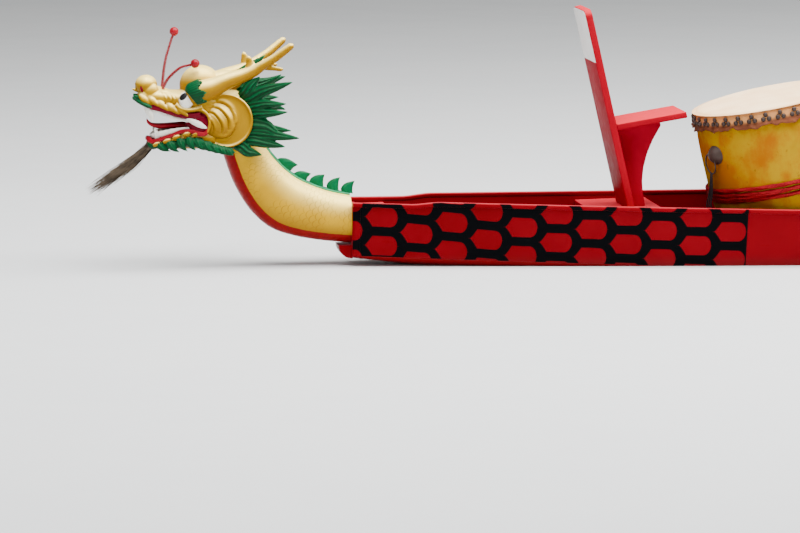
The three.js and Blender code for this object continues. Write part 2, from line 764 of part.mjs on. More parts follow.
// A row of teeth that follows a jaw: a bar down each side and across the front, with points.
function teeth({ front, back, frontZ, backZ, wide, narrow, high, points, down }) {
  const length = front - back;
  const s = down ? -1 : 1;
  const outline = [[front, frontZ]];
  for (let i = 0; i < points; i++) {
    const t0 = i / points;
    const t1 = (i + 0.5) / points;
    const z = (t) => frontZ + (backZ - frontZ) * t;
    outline.push([front - length * t0 - 3, z(t0) + s * high * 0.55]);
    outline.push([front - length * t1, z(t1) + s * high]);
  }
  outline.push([back, backZ + s * high * 0.5], [back, backZ]);
  const side = (y) => {
    const turn = Math.atan2(wide - narrow, length) * Math.sign(y);
    return plate(outline, 10)
      .translate([-front, 0, 0])
      .rotate([0, 0, THREE.MathUtils.radToDeg(-turn)])
      .translate([front, Math.sign(y) * narrow, 0]);
  };
  const [low, top] = down ? [frontZ - high, frontZ] : [frontZ, frontZ + high];
  const bar = box([front - 12, front - 1], [-narrow - 4, narrow + 4], [low, top]);
  return joined([side(1), side(-1), bar]);
}

const UPPER_TEETH = {
  front: 816, back: 610, frontZ: 664, backZ: 634, wide: 74, narrow: 36, high: 38, points: 7, down: true,
};
const LOWER_TEETH = {
  front: 798, back: 600, frontZ: 512, backZ: 544, wide: 68, narrow: 30, high: 30, points: 7, down: false,
};
const TONGUE_ROWS = [
  [566, 0, 564, 44, 14],
  [640, 0, 570, 40, 10],
  [710, 0, 567, 34, 8],
  [760, 0, 567, 27, 7],
  [792, 0, 576, 18, 6],
  [806, 0, 590, 7, 4],
];

const FEELERS = {
  port: [[748, 16, 700], [742, 18, 726], [722, 28, 764], [676, 48, 802], [640, 58, 814]],
  starboard: [[748, -16, 700], [746, -18, 740], [734, -22, 826], [712, -28, 900], [702, -30, 928]],
};
const FEELER = { wire: 4.5, ball: 18 };

function feeler(side) {
  const path = FEELERS[side];
  const wire = limb(path.map((p) => [...p, FEELER.wire, FEELER.wire]), 0, 6);
  const [a, b] = [path.at(-2), path.at(-1)].map((p) => new THREE.Vector3(...p));
  const tip = b.clone().addScaledVector(b.clone().sub(a).normalize(), FEELER.ball - 3);
  return wire.add(ellipsoid(tip.toArray(), [FEELER.ball, FEELER.ball, FEELER.ball], 0, 12));
}

const BEARD_ROWS = [
  [786, 0, 500, 16, 16],
  [812, 0, 474, 20, 20],
  [868, 0, 428, 22, 24],
  [940, 0, 378, 20, 24],
  [1005, 0, 332, 16, 20],
  [1046, 0, 304, 8, 10],
];

const MOUSTACHE_ROWS = [
  [776, 62, 652, 12, 9],
  [816, 56, 662, 12, 12],
  [846, 36, 676, 13, 13],
  [858, 0, 682, 13, 13],
  [846, -36, 676, 13, 13],
  [816, -56, 662, 12, 12],
  [776, -62, 652, 12, 9],
];

// The moustache runs round the front of the snout, so its rings stand upright across its path.
function moustache() {
  const at = MOUSTACHE_ROWS.map(([x, y, z]) => new THREE.Vector3(x, y, z));
  const rings = MOUSTACHE_ROWS.map(([, , , w, h], i) => {
    const along = at[Math.min(i + 1, at.length - 1)].clone().sub(at[Math.max(i - 1, 0)]).normalize();
    const across = new THREE.Vector3().crossVectors(along, new THREE.Vector3(0, 0, 1)).normalize();
    return Array.from({ length: 8 }, (_, k) => {
      const turn = ((k + 0.5) / 8) * 2 * Math.PI;
      return at[i]
        .clone()
        .addScaledVector(across, w * Math.cos(turn))
        .add(new THREE.Vector3(0, 0, h * Math.sin(turn)));
    });
  });
  return loft(rings);
}

function buildHead() {
  const head = new THREE.Group();
  head.position.x = HALF_LENGTH;
  boat.add(head);
  const put = (name, paint, solid, cuts = []) => add(name, paint, fitted(solid, cuts), head);
  const core = headCore(GAP);
  const jaw = lowerJaw(GAP);
  const neckSeat = neck(GAP);
  const horns = [horn(true, GAP), horn(false, GAP)];
  const manes = [mane(true, GAP), mane(false, GAP)];
  put("neck", "gold", neck(), [core, jaw]);
  put("neck_crest", "green", fins(NECK_FINS, [-12, 272]), [neckSeat, core, ...manes]);
  put("head_carving", "gold", headCore());
  put("lower_jaw", "gold", lowerJaw(), [core]);
  put("tongue", "red", limb(TONGUE_ROWS, 0, 8), [core, jaw]);
  put("upper_teeth", "white", teeth(UPPER_TEETH), [core]);
  put("lower_teeth", "white", teeth(LOWER_TEETH), [core, jaw, limb(TONGUE_ROWS, GAP, 8)]);
  for (const port of [true, false]) {
    const side = port ? "port" : "starboard";
    put(`horn_${side}`, "gold", horn(port), [core]);
    put(`eye_${side}`, "white", eye(port), [core, ...horns]);
    put(`mane_${side}`, "green", mane(port), [core, ...horns, neckSeat]);
    put(`feeler_${side}`, "red", feeler(side), [core]);
  }
  put("mane_top", "green", topMane(), [core, ...horns, ...manes, neckSeat]);
  put("jaw_frill", "green", jawFrill(), [core, jaw, neckSeat, ...manes]);
  put("moustache", "green", moustache(), [core, teethSeat()]);
  put("beard", "hair", limb(BEARD_ROWS), [jaw, jawFrill(GAP)]);
}

// The upper teeth's seat, a little larger than the teeth.
function teethSeat() {
  const { front, frontZ, narrow, high } = UPPER_TEETH;
  return box([front - 40, front + GAP], [-narrow - 14, narrow + 14], [frontZ - high - GAP, frontZ + GAP]);
}

// The tail, in millimetres aft of the stern end: [x, z, half width, half depth].
const TAIL_ROWS = [
  [0, 184, 84, 97],
  [110, 186, 86, 92],
  [225, 208, 82, 84],
  [330, 262, 74, 74],
  [412, 344, 62, 62],
  [468, 446, 48, 48],
  [496, 556, 36, 36],
  [492, 660, 26, 26],
  [456, 746, 17, 17],
  [402, 790, 9, 9],
];
const TAIL_FINS = [
  [64, 334, 4, 287, 60, 285],
  [128, 335, 68, 284, 124, 285],
  [186, 342, 132, 285, 186, 291],
  [238, 358, 194, 293, 244, 309],
  [284, 384, 252, 312, 298, 335],
  [322, 414, 305, 339, 344, 370],
  [352, 454, 350, 376, 384, 415],
];
const TAIL_FLAMES = [
  [[478, 600], [540, 660], [560, 740], [548, 812]],
  [[486, 640], [520, 728], [516, 812], [488, 890]],
  [[470, 700], [470, 776], [440, 850], [392, 900]],
  [[440, 740], [410, 800], [362, 838], [300, 846]],
  [[486, 570], [556, 600], [596, 656], [610, 726]],
];

function tail(grow = 0) {
  const rows = TAIL_ROWS.map(([x, z, w, h], i) => [i === 0 ? -GAP : -x, 0, z, w, h]);
  const rings = rows.map(([x, , z, w, h], i) => {
    const a = rows[Math.max(i - 1, 0)];
    const b = rows[Math.min(i + 1, rows.length - 1)];
    const along = i === 0 ? new THREE.Vector3(-1, 0, 0) : new THREE.Vector3(b[0] - a[0], 0, b[2] - a[2]);
    along.normalize();
    const up = new THREE.Vector3(0, 1, 0).cross(along).normalize();
    return Array.from({ length: 12 }, (_, k) => {
      const turn = ((k + 0.5) / 12) * 2 * Math.PI;
      return new THREE.Vector3(x, (w + grow) * Math.cos(turn), z).addScaledVector(up, (h + grow) * Math.sin(turn));
    });
  });
  return loft(rings);
}

function buildTail() {
  const stern = new THREE.Group();
  stern.position.x = -HALF_LENGTH;
  boat.add(stern);
  add("tail", "gold", tail(), stern);
  const seat = tail(GAP);
  const crest = fins(TAIL_FINS, [403, 399], false);
  add("tail_crest", "green", fitted(crest, [seat]), stern);
  const flames = TAIL_FLAMES.map((path) =>
    limb(path.map(([x, z], i) => [-x, 0, z, [30, 20, 13, 3][i], [32, 32, 20, 4][i]]), 0, 8),
  );
  add("tail_flames", "green", fitted(joined(flames), [seat]), stern);
}

// The steering oar: a beam across the stern rails carries a swivelling fork, a ring that rocks in
// the fork and the oar that turns in the ring.
const PIVOT = { x: -5250, y: 350, z: 360, splay: THREE.MathUtils.degToRad(12) };
const BEAM = { wide: 70, thick: 42, inboard: -215, outboard: 402 };
const FORK = { pin: 8.3, bore: 9.2, ear: 8, inner: 39, washer: 15 };
const RING = { bore: 23, outer: 33, length: 30, pin: 5.6, pinBore: 6.4 };
const OAR = { shaft: 22, inboard: 880, outboard: 1220, slope: 17, blade: 760, bladeWide: 105 };

function buildSteeringOar() {
  const beamTop = sheer(PIVOT.x - BEAM.wide / 2) + RAIL.above + GAP + BEAM.thick;
  const beamLow = beamTop - BEAM.thick;
  const cross = box(
    [PIVOT.x - BEAM.wide / 2, PIVOT.x + BEAM.wide / 2],
    [BEAM.inboard, BEAM.outboard],
    [beamLow, beamTop],
  ).subtract(rod(FORK.bore, beamLow - 1, beamTop + 1).translate([PIVOT.x, PIVOT.y, 0]));
  add("oar_beam", "red", cross);

  const rig = new THREE.Group();
  rig.position.set(PIVOT.x, PIVOT.y, PIVOT.z);
  rig.rotation.z = -PIVOT.splay;
  boat.add(rig);
  const floor = beamTop + GAP - PIVOT.z;
  const earOut = FORK.inner + FORK.ear;
  const ears = [1, -1].map((s) => {
    const [y0, y1] = s > 0 ? [FORK.inner, earOut] : [-earOut, -FORK.inner];
    return box([-16, 16], [y0, y1], [floor, 16]);
  });
  const yoke = box([-18, 18], [-earOut, earOut], [floor, floor + 10]);
  const pin = rod(FORK.pin, floor - BEAM.thick - 12, floor + 4);
  const under = beamLow - PIVOT.z - GAP;
  const washer = rod(FORK.washer, under - 8, under);
  const pinHole = rod(RING.pinBore, -earOut - 1, earOut + 1, "y");
  add("oarlock_fork", "steel", joined([...ears, yoke, pin, washer]).subtract(pinHole), rig);

  const slope = THREE.MathUtils.degToRad(OAR.slope);
  const tilted = new THREE.Group();
  tilted.rotation.y = -slope;
  rig.add(tilted);
  const collar = joined([
    rod(RING.outer, -RING.length / 2, RING.length / 2, "x"),
    rod(RING.pin, -earOut + 0.5, earOut - 0.5, "y", 12),
  ]).subtract(rod(RING.bore, -RING.length, RING.length, "x"));
  add("oarlock_ring", "steel", collar, tilted);
  const stop = RING.length / 2 + 0.8;
  const shaft = joined([
    rod(OAR.shaft, -OAR.outboard, OAR.inboard, "x"),
    rod(RING.outer - 2, stop, stop + 36, "x"),
    rod(RING.outer - 2, -stop - 36, -stop, "x"),
    rod(14, OAR.inboard - 30, OAR.inboard + 8, "x"),
  ]);
  add("oar_shaft", "wood", shaft, tilted);
  const start = -OAR.outboard - GAP;
  const end = start - OAR.blade;
  const w = OAR.bladeWide;
  const bladeRows = [
    [start, 0, 0, 20, 22],
    [start - 120, 0, 0, 16, 50],
    [start - 300, 0, 0, 12, w * 0.85],
    [end + 120, 0, 0, 8, w],
    [end + 20, 0, 0, 5, w * 0.92],
    [end, 0, 0, 4, w * 0.8],
  ];
  add("oar_blade", "wood", limb(bladeRows, 0, 12), tilted);
}

buildHull();
buildDrummerSeat();
buildDrum();
buildHead();
buildTail();
buildSteeringOar();

export default boat;
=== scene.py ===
"""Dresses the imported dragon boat: painted planks, a carved head and tail, a drum, ropes and an oar.

Lengths in the tables are millimetres, in the boat's own frame: +X towards the bow, +Y to port and +Z up
from the waterline amidships. Tables of the head count X forward from the bow end.
"""

import bmesh
import bpy
import numpy as np
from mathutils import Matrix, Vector


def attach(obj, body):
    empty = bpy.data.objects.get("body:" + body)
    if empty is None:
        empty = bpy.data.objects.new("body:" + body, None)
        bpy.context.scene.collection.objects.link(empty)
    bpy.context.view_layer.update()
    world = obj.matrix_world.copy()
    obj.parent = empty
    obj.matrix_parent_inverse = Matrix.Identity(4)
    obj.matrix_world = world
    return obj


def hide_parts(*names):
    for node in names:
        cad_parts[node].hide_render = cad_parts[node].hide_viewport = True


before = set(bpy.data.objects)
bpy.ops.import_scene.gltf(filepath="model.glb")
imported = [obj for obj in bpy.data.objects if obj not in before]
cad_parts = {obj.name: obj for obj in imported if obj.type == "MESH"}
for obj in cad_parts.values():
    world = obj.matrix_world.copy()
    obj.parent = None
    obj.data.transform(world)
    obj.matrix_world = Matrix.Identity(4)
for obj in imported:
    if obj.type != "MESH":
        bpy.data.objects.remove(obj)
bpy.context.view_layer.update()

MM = 0.001
ACROSS = np.array([0.0, 1.0, 0.0])

# The clearance between pieces that touch
GAP = 0.3

# Half the hull's length, its bow end, where its planks end and the lengths that they are cut in
HALF_LENGTH = 5800.0
BOW = np.array([HALF_LENGTH, 0.0, 0.0])
PLANKS_END = 5770.0
LENGTHS = ("fore", "mid_fore", "mid_aft", "aft")

# The camera's place in metres, its turn aft, its tilt down and its focal length
CAMERA_AT = (8.0385, 16.5457, 2.4252)
CAMERA_TURN = np.radians(8.4)
CAMERA_DROP = np.radians(8.3)
FOCAL_LENGTH = 189.0

# Colours, linear
RED = (0.18, 0.0001, 0.005)
DEEP_RED = (0.1, 0.0001, 0.0015)
# A painted highlight on red paint that faces up: the sky's reflection
HIGHLIGHT_RED = (0.5, 0.022, 0.035)
INNER_RED = (0.18, 0.0003, 0.003)
LATTICE = (0.0008, 0.001, 0.0016)
GOLD = (0.56, 0.315, 0.0006)
OCHRE = (0.2, 0.085, 0.0001)
# The painted highlight on gold that faces the sky
CREAM = (1.0, 0.76, 0.22)
GREEN = (0.0003, 0.078, 0.021)
DARK_GREEN = (0.0001, 0.02, 0.006)
FIN_GREEN = (0.0003, 0.098, 0.033)
PALE_GREEN = (0.02, 0.32, 0.15)
# Green ridges lightened, as rubbed-through wear and painted highlight both
WORN_AND_HIGHLIGHT_GREEN = (0.0015, 0.15, 0.055)
WHITE = (0.82, 0.79, 0.72)
MOUTH_RED = (0.13, 0.0002, 0.01)
LIP_RED = (0.27, 0.0004, 0.01)
BELLY_RED = (0.19, 0.0001, 0.001)


# Shapes: rows, paths and skins


def unit(v):
    """Vectors divided by their length."""
    return v / np.maximum(np.linalg.norm(v, axis=-1, keepdims=True), 1e-12)


def smooth(rows, count):
    """Rows joined by a curve through each of them: between two rows a cubic, whose slope at a row is
    half the step between the row's neighbours."""
    p = np.asarray(rows, float)
    t = np.linspace(0, len(p) - 1, count)
    i = np.minimum(t.astype(int), len(p) - 2)
    f = (t - i)[:, None]
    slope = np.gradient(p, axis=0)
    a, b = p[i], p[i + 1]
    rise = (f**3 - 2 * f**2 + f) * slope[i] + (f**3 - f**2) * slope[i + 1]
    return a + (3 * f**2 - 2 * f**3) * (b - a) + rise


def oval(count, square=1.0):
    """Points round an oval: cosine and sine of the angle, each raised to the power square."""
    turn = np.linspace(0, 2 * np.pi, count, endpoint=False)
    a, b = np.cos(turn), np.sin(turn)
    return np.stack([np.sign(a) * np.abs(a) ** square, np.sign(b) * np.abs(b) ** square], -1)


def grooved(count, ribs, depth):
    """A flat blade's section: an oval whose thickness swells and sinks with the cosine of its width."""
    a, b = oval(count).T
    return np.stack([a * (1 + depth * np.cos(ribs * np.pi * b)), b], -1)


def directions(path, side=(0, 1, 0)):
    """Two directions square to a path: across, which is the side made square to it, and over."""
    along = unit(np.gradient(path, axis=0))
    side = np.broadcast_to(np.asarray(side, float), path.shape)
    across = unit(side - along * (side * along).sum(-1, keepdims=True))
    over = np.cross(along, across)
    return across, over * (1 if over[:, 2].sum() >= 0 else -1)


def carried(path, wide, high, section, side=(0, 1, 0)):
    """A section carried along a path: path + across * wide * a + over * high * b for each (a, b)."""
    path = np.asarray(path, float)
    across, over = directions(path, side)
    section = np.asarray(section, float)
    a, b = section[..., 0], section[..., 1]
    return (
        path[:, None]
        + across[:, None] * (np.asarray(wide)[:, None] * a)[..., None]
        + over[:, None] * (np.asarray(high)[:, None] * b)[..., None]
    )


def capped(points):
    """The same skin with each end ring drawn together to its middle, which closes it."""
    ends = points[:1], points[-1:]
    first, last = (np.broadcast_to(ring.mean(1, keepdims=True), ring.shape) for ring in ends)
    return np.concatenate([first, points, last])


def bar(path, radius, around, side=(0, 1, 0)):
    """A closed round bar along a path: its radius is one number or one for each point."""
    radius = np.broadcast_to(radius, len(path))
    return skin(capped(carried(path, radius, radius, oval(around), side)))


def run_along(path):
    """The length along a path from its start to each of its points."""
    return np.concatenate([[0], np.cumsum(np.linalg.norm(np.diff(path, axis=0), axis=1))])


def limb(rows, count=40, section=None, side=(0, 1, 0)):
    """A closed body from rows of x, y, z, half width and half height, on a smooth curve."""
    r = smooth(rows, count)
    section = oval(20) if section is None else section
    return skin(capped(carried(r[:, :3], r[:, 3], r[:, 4], section, side)))


def ball(centre, radii, count=40):
    """A sphere stretched to three radii."""
    up = np.linspace(-np.pi / 2, np.pi / 2, count // 2 + 1)[:, None]
    turn = np.linspace(0, 2 * np.pi, count, endpoint=False)[None]
    out = np.stack([np.cos(up) * np.cos(turn), np.cos(up) * np.sin(turn), np.sin(up) + 0 * turn], -1)
    return skin(np.asarray(centre, float) + out * np.asarray(radii, float))


def lathed(profile, count, waver=None):
    """A profile of radius and height turned round the Z axis; waver changes both with the angle."""
    turn = np.linspace(0, 2 * np.pi, count, endpoint=False)
    p = np.asarray(profile, float)
    radius, height = p[:, :1] + 0 * turn, p[:, 1:] + 0 * turn
    if waver is not None:
        radius, height = waver(radius, height, turn)
    return skin(np.stack([radius * np.cos(turn), radius * np.sin(turn), height], -1))


def skin(points):
    """Faces and a map over a grid of points, whose last column is joined to its first."""
    n, m = points.shape[:2]
    i, j = np.meshgrid(np.arange(n - 1), np.arange(m), indexing="ij")
    corners = [(i, j), (i, j + 1), (i + 1, j + 1), (i + 1, j)]
    faces = np.stack([p * m + q % m for p, q in corners], -1).reshape(-1, 4)
    places = np.stack([np.stack([p / (n - 1), q / m], -1) for p, q in corners], -2)
    return points.reshape(-1, 3), faces, places.reshape(-1, 4, 2)


def moved(shape, by=(0, 0, 0), tilt=0.0, pivot=(0, 0, 0), turn=0.0):
    """A skin leaned by tilt about the Y axis and turned about Z, both at the pivot, and then moved."""
    points, faces, places = shape
    c, s = np.cos(tilt), np.sin(tilt)
    lean = np.array([[c, 0, s], [0, 1, 0], [-s, 0, c]])
    c, s = np.cos(turn), np.sin(turn)
    spin = np.array([[c, -s, 0], [s, c, 0], [0, 0, 1]])
    pivot = np.asarray(pivot, float)
    return (points - pivot) @ (spin @ lean).T + pivot + np.asarray(by, float), faces, places


def across_boat(shape):
    """The same skin on the other side of the centreline."""
    points, faces, places = shape
    return points * np.array([1, -1, 1]), faces[:, ::-1], places[:, ::-1]


def both_sides(shapes):
    """Skins and their reflections in the centreline."""
    return list(shapes) + [across_boat(s) for s in shapes]


def on_side(side, shapes):
    """Skins made for the port side, as they are or reflected to starboard."""
    return shapes if side == "port" else [across_boat(s) for s in shapes]


# Making the pieces


def new_object(name, shapes):
    """A mesh object from skins in millimetres, with its poles merged and its faces turned outwards. A
    skin's map has two numbers a corner, the map Places, or four, Places and Height."""
    starts = np.cumsum([0] + [len(points) for points, _, _ in shapes[:-1]])
    points = np.concatenate([s[0] for s in shapes]) * MM
    faces = np.concatenate([s[1] + start for s, start in zip(shapes, starts)])
    mesh = bpy.data.meshes.new(name)
    mesh.from_pydata(points.tolist(), [], faces.tolist())
    maps = np.concatenate([s[2] for s in shapes]).astype(np.float32)
    for k, layer in enumerate(("Places", "Height")[: maps.shape[-1] // 2]):
        mesh.uv_layers.new(name=layer).data.foreach_set("uv", maps[..., 2 * k : 2 * k + 2].ravel())
    tidy(mesh, 1e-6)
    obj = bpy.data.objects.new(name, mesh)
    bpy.context.collection.objects.link(obj)
    return obj


def tidy(mesh, reach):
    """Merges points that lie together and turns every closed shell's faces outwards."""
    bm = bmesh.new()
    bm.from_mesh(mesh)
    bmesh.ops.remove_doubles(bm, verts=bm.verts, dist=reach)
    bmesh.ops.recalc_face_normals(bm, faces=bm.faces)
    bm.to_mesh(mesh)
    bm.free()


def settle(obj):
    """Makes the result of the modifiers the object's own mesh."""
    depsgraph = bpy.context.evaluated_depsgraph_get()
    mesh = bpy.data.meshes.new_from_object(obj.evaluated_get(depsgraph))
    obj.modifiers.clear()
    obj.data = mesh


def fused(obj, voxel, relax):
    """Melts overlapping shells into one carved surface."""
    melt = obj.modifiers.new("Melt", "REMESH")
    melt.mode = "VOXEL"
    melt.voxel_size = voxel * MM
    melt.use_smooth_shade = True
    soften = obj.modifiers.new("Soften", "SMOOTH")
    soften.iterations = relax
    settle(obj)


def points_of(mesh):
    """The mesh's points in metres, one row each."""
    co = np.empty(len(mesh.vertices) * 3)
    mesh.vertices.foreach_get("co", co)
    return co.reshape(-1, 3)


def normals_of(mesh):
    """The direction that the surface faces at each of the mesh's points."""
    normals = np.empty(len(mesh.vertices) * 3)
    mesh.vertex_normals.foreach_get("vector", normals)
    return normals.reshape(-1, 3)


def with_attribute(mesh, name, values):
    """Writes one number at each of the mesh's points."""
    layer = mesh.attributes.new(name, "FLOAT", "POINT")
    layer.data.foreach_set("value", np.asarray(values, np.float32))


def carved(obj, relief):
    """Moves each point out along its normal by relief of its place, counted from the bow end."""
    points, normals = points_of(obj.data), normals_of(obj.data)
    points += normals * relief(points / MM - BOW, normals)[:, None] * MM
    obj.data.vertices.foreach_set("co", points.ravel())
    obj.data.update()


def beside(place, path, count=26):
    """How far each place in the side's plane lies from a smooth path, on which side of it, and the
    path's share of strength there, which fades to nothing at both ends."""
    line = smooth(path, count)
    away = place[:, None] - line[None]
    near = np.argmin((away**2).sum(-1), axis=1)
    along = unit(np.gradient(line, axis=0))[near]
    gap = away[np.arange(len(place)), near]
    side = gap[:, 0] * along[:, 1] - gap[:, 1] * along[:, 0]
    fade = np.sin(np.pi * np.clip(near / (count - 1), 0.02, 0.98)) ** 0.5
    return np.linalg.norm(gap, axis=1), side, fade


def mark_hollows(mesh):
    """Writes the attribute hollow: how far a point lies under the middle of its neighbours along its
    normal, over their distance from it, averaged three times with theirs."""
    count = len(mesh.vertices)
    edges = np.empty(len(mesh.edges) * 2, np.int64)
    mesh.edges.foreach_get("vertices", edges)
    a, b = edges.reshape(-1, 2).T
    points = points_of(mesh)
    near = np.maximum(np.bincount(a, minlength=count) + np.bincount(b, minlength=count), 1)

    def neighbours(values):
        return (np.bincount(a, values[b], count) + np.bincount(b, values[a], count)) / near

    middle = np.stack([neighbours(points[:, k]) for k in range(3)], -1)
    span = np.linalg.norm(points[a] - points[b], axis=1)
    reach = (np.bincount(a, span, count) + np.bincount(b, span, count)) / near
    depth = ((middle - points) * normals_of(mesh)).sum(1) / np.maximum(reach, 1e-9)
    for _ in range(3):
        depth = (depth + neighbours(depth)) / 2
    with_attribute(mesh, "hollow", depth)


def placed(obj, finish, stands_for=(), body="hull", crease=40):
    """Gives a piece its finish, the body that it rides on and the CAD nodes it stands for.
    Edges sharper than crease, in degrees, stay crisp."""
    mesh = obj.data
    mesh.shade_smooth()
    mesh.set_sharp_from_angle(angle=np.radians(crease))
    mark_hollows(mesh)
    mesh.materials.clear()
    mesh.materials.append(finish)
    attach(obj, body)
    if stands_for:
        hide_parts(*stands_for)


def piece(name, shapes, finish, stands_for=(), body="hull", melt=0, relax=2):
    """A new piece of the boat from its skins, melted together where melt gives a grid in millimetres."""
    obj = new_object(name, shapes)
    if melt:
        fused(obj, melt, relax)
    placed(obj, finish, stands_for, body)


def eased(node, finish, width=2.0, body="hull", segments=2):
    """A CAD node's shape with its edges eased by so many millimetres, standing for that node."""
    obj = bpy.data.objects.new(f"{node}_eased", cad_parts[node].data.copy())
    bpy.context.collection.objects.link(obj)
    tidy(obj.data, 1e-5)
    bm = bmesh.new()
    bm.from_mesh(obj.data)
    bmesh.ops.dissolve_limit(bm, angle_limit=np.radians(0.5), verts=bm.verts, edges=bm.edges)
    bm.to_mesh(obj.data)
    bm.free()
    bevel = obj.modifiers.new("Ease", "BEVEL")
    bevel.width = width * MM
    bevel.segments = segments
    bevel.limit_method = "ANGLE"
    bevel.angle_limit = np.radians(35)
    settle(obj)
    placed(obj, finish, (node,), body, 50)


# Finishes


class Term:
    """A value in a material's nodes: + - * / and abs each put one more math node after it."""

    def __init__(self, recipe, socket):
        self.recipe = recipe
        self.socket = socket

    def __add__(self, other):
        return self.recipe.math("ADD", self, other)

    def __sub__(self, other):
        return self.recipe.math("SUBTRACT", self, other)

    def __rsub__(self, other):
        return self.recipe.math("SUBTRACT", other, self)

    def __mul__(self, other):
        return self.recipe.math("MULTIPLY", self, other)

    def __truediv__(self, other):
        return self.recipe.math("DIVIDE", self, other)

    def __abs__(self):
        return self.recipe.math("ABSOLUTE", self)

    def clamped(self):
        """The same value, held between 0 and 1 by its own math node."""
        self.socket.node.use_clamp = True
        return self

    def step(self, low, high, a=0.0, b=1.0):
        """The value's way from low to high, as a smooth step from a to b."""
        inputs = {"Value": self, "From Min": low, "From Max": high, "To Min": a, "To Max": b}
        return self.recipe.node("ShaderNodeMapRange", inputs, interpolation_type="SMOOTHSTEP")


class Recipe:
    """A material's nodes, with a short word for each kind that the finishes share."""

    def __init__(self, name):
        self.material = bpy.data.materials.new(name)
        self.material.use_nodes = True
        self.tree = self.material.node_tree
        self.tree.nodes.clear()
        output = self.tree.nodes.new("ShaderNodeOutputMaterial")
        self.shader = self.tree.nodes.new("ShaderNodeBsdfPrincipled")
        self.tree.links.new(self.shader.outputs[0], output.inputs[0])
        self.place = self.node("ShaderNodeTexCoord", {}, "Object")

    def node(self, kind, inputs, output=0, **settings):
        """A new node's output, as a term. Each input is a term, or else a number, vector or colour."""
        made = self.tree.nodes.new(kind)
        for key, value in settings.items():
            setattr(made, key, value)
        for key, value in inputs.items():
            if isinstance(value, Term):
                self.tree.links.new(value.socket, made.inputs[key])
            else:
                made.inputs[key].default_value = value
        return Term(self, made.outputs[output])

    def math(self, operation, a, b=0.0):
        return self.node("ShaderNodeMath", {0: a, 1: b}, operation=operation)

    def axes(self, vector=None):
        """The three parts of a vector, or of the place on the object if none is given."""
        parts = self.node("ShaderNodeSeparateXYZ", {0: vector or self.place})
        return [Term(self, socket) for socket in parts.socket.node.outputs]

    def facing(self):
        """The three parts of the direction that the surface faces."""
        return self.axes(self.node("ShaderNodeNewGeometry", {}, "Normal"))

    def uv(self, name):
        """The parts of the piece's own map of that name."""
        return self.axes(self.node("ShaderNodeUVMap", {}, uv_map=name))

    def attribute(self, name):
        return self.node("ShaderNodeAttribute", {}, "Fac", attribute_name=name)

    def hollows(self, strength):
        """How hollow a point lies, from 0 on flat places to 1; with a negative strength, how raised."""
        return (self.attribute("hollow") * strength).clamped()

    def noise(self, scale, detail=4.0, stretch=(1, 1, 1), rough=0.55):
        """Noise over the object, finer along the axes that stretch makes larger."""
        place = self.node("ShaderNodeMapping", {"Vector": self.place, "Scale": stretch})
        inputs = {"Vector": place, "Scale": scale, "Detail": detail, "Roughness": rough}
        return self.node("ShaderNodeTexNoise", inputs, "Fac")

    def mix(self, factor, a, b):
        """Colour a where the factor is 0, b where it is 1."""
        a, b = (colour if isinstance(colour, Term) else (*colour, 1) for colour in (a, b))
        return self.node("ShaderNodeMix", {0: factor, 6: a, 7: b}, 2, data_type="RGBA")

    def bump(self, height, strength, distance, under=None):
        """The surface's direction over a relief of so many millimetres, laid on one under it."""
        inputs = {"Height": height, "Strength": strength, "Distance": distance * MM}
        if under is not None:
            inputs["Normal"] = under
        return self.node("ShaderNodeBump", inputs)

    def done(self, colour, rough, normal=None, gloss=0.5, metallic=0.0, varnish=0.0):
        """The finished material: gloss is its specular level, varnish its coat."""
        for key, term in {"Base Color": colour, "Roughness": rough, "Normal": normal}.items():
            if term is not None:
                self.tree.links.new(term.socket, self.shader.inputs[key])
        constants = {"Specular IOR Level": gloss, "Metallic": metallic, "Coat Weight": varnish}
        for key, value in constants.items():
            self.shader.inputs[key].default_value = value
        return self.material


def painted(name, colour, shade, rough=0.35, gloss=0.3, grain=1.0, hollow=5.0, under=0.0, painted_highlight=None,
            worn=None, metallic=0.0):
    """Brushed paint on carved wood, with strokes as deep as grain, uneven over a hand's breadth. Dirt and
    painted shade darken it in the hollows by hollow, painted shade darkens it by under where the surface
    faces down, painted_highlight gives the colour of a painted highlight where it faces the sky and, where
    worn gives a colour, ridges are lightened by it as rubbed-through wear and painted highlight both."""
    r = Recipe(name)
    fine = r.noise(60.0, 5.0, (1, 1, 0.35))
    base = r.mix(r.noise(5.0, 3.0).step(0.35, 0.7, 0.0, 0.35), colour, shade)
    base = r.mix(fine.step(0.35, 0.75, 0.0, 0.16), base, shade)
    # Dirt and painted shade: darker in the hollows
    base = r.mix(r.hollows(hollow), base, shade)
    # Painted shade: darker where the surface faces down
    if under:
        base = r.mix(r.facing()[2].step(0.5, -0.35, 0.0, under), base, shade)
    # Painted highlight: lighter where the surface faces the sky
    if painted_highlight is not None:
        base = r.mix(r.facing()[2].step(0.1, 0.8, 0.0, 0.95), base, painted_highlight)
    # Ridges lightened, as rubbed-through wear and painted highlight both
    if worn is not None:
        base = r.mix((r.hollows(-hollow) * fine).step(0.22, 0.5), base, worn)
    roughness = fine.step(0.2, 0.8, rough - 0.07, rough + 0.13)
    strokes = r.bump(fine, 0.22 * grain, 1.2)
    return r.done(base, roughness, r.bump(r.noise(14.0, 3.0), 0.12 * grain, 5.0, strokes), gloss, metallic)


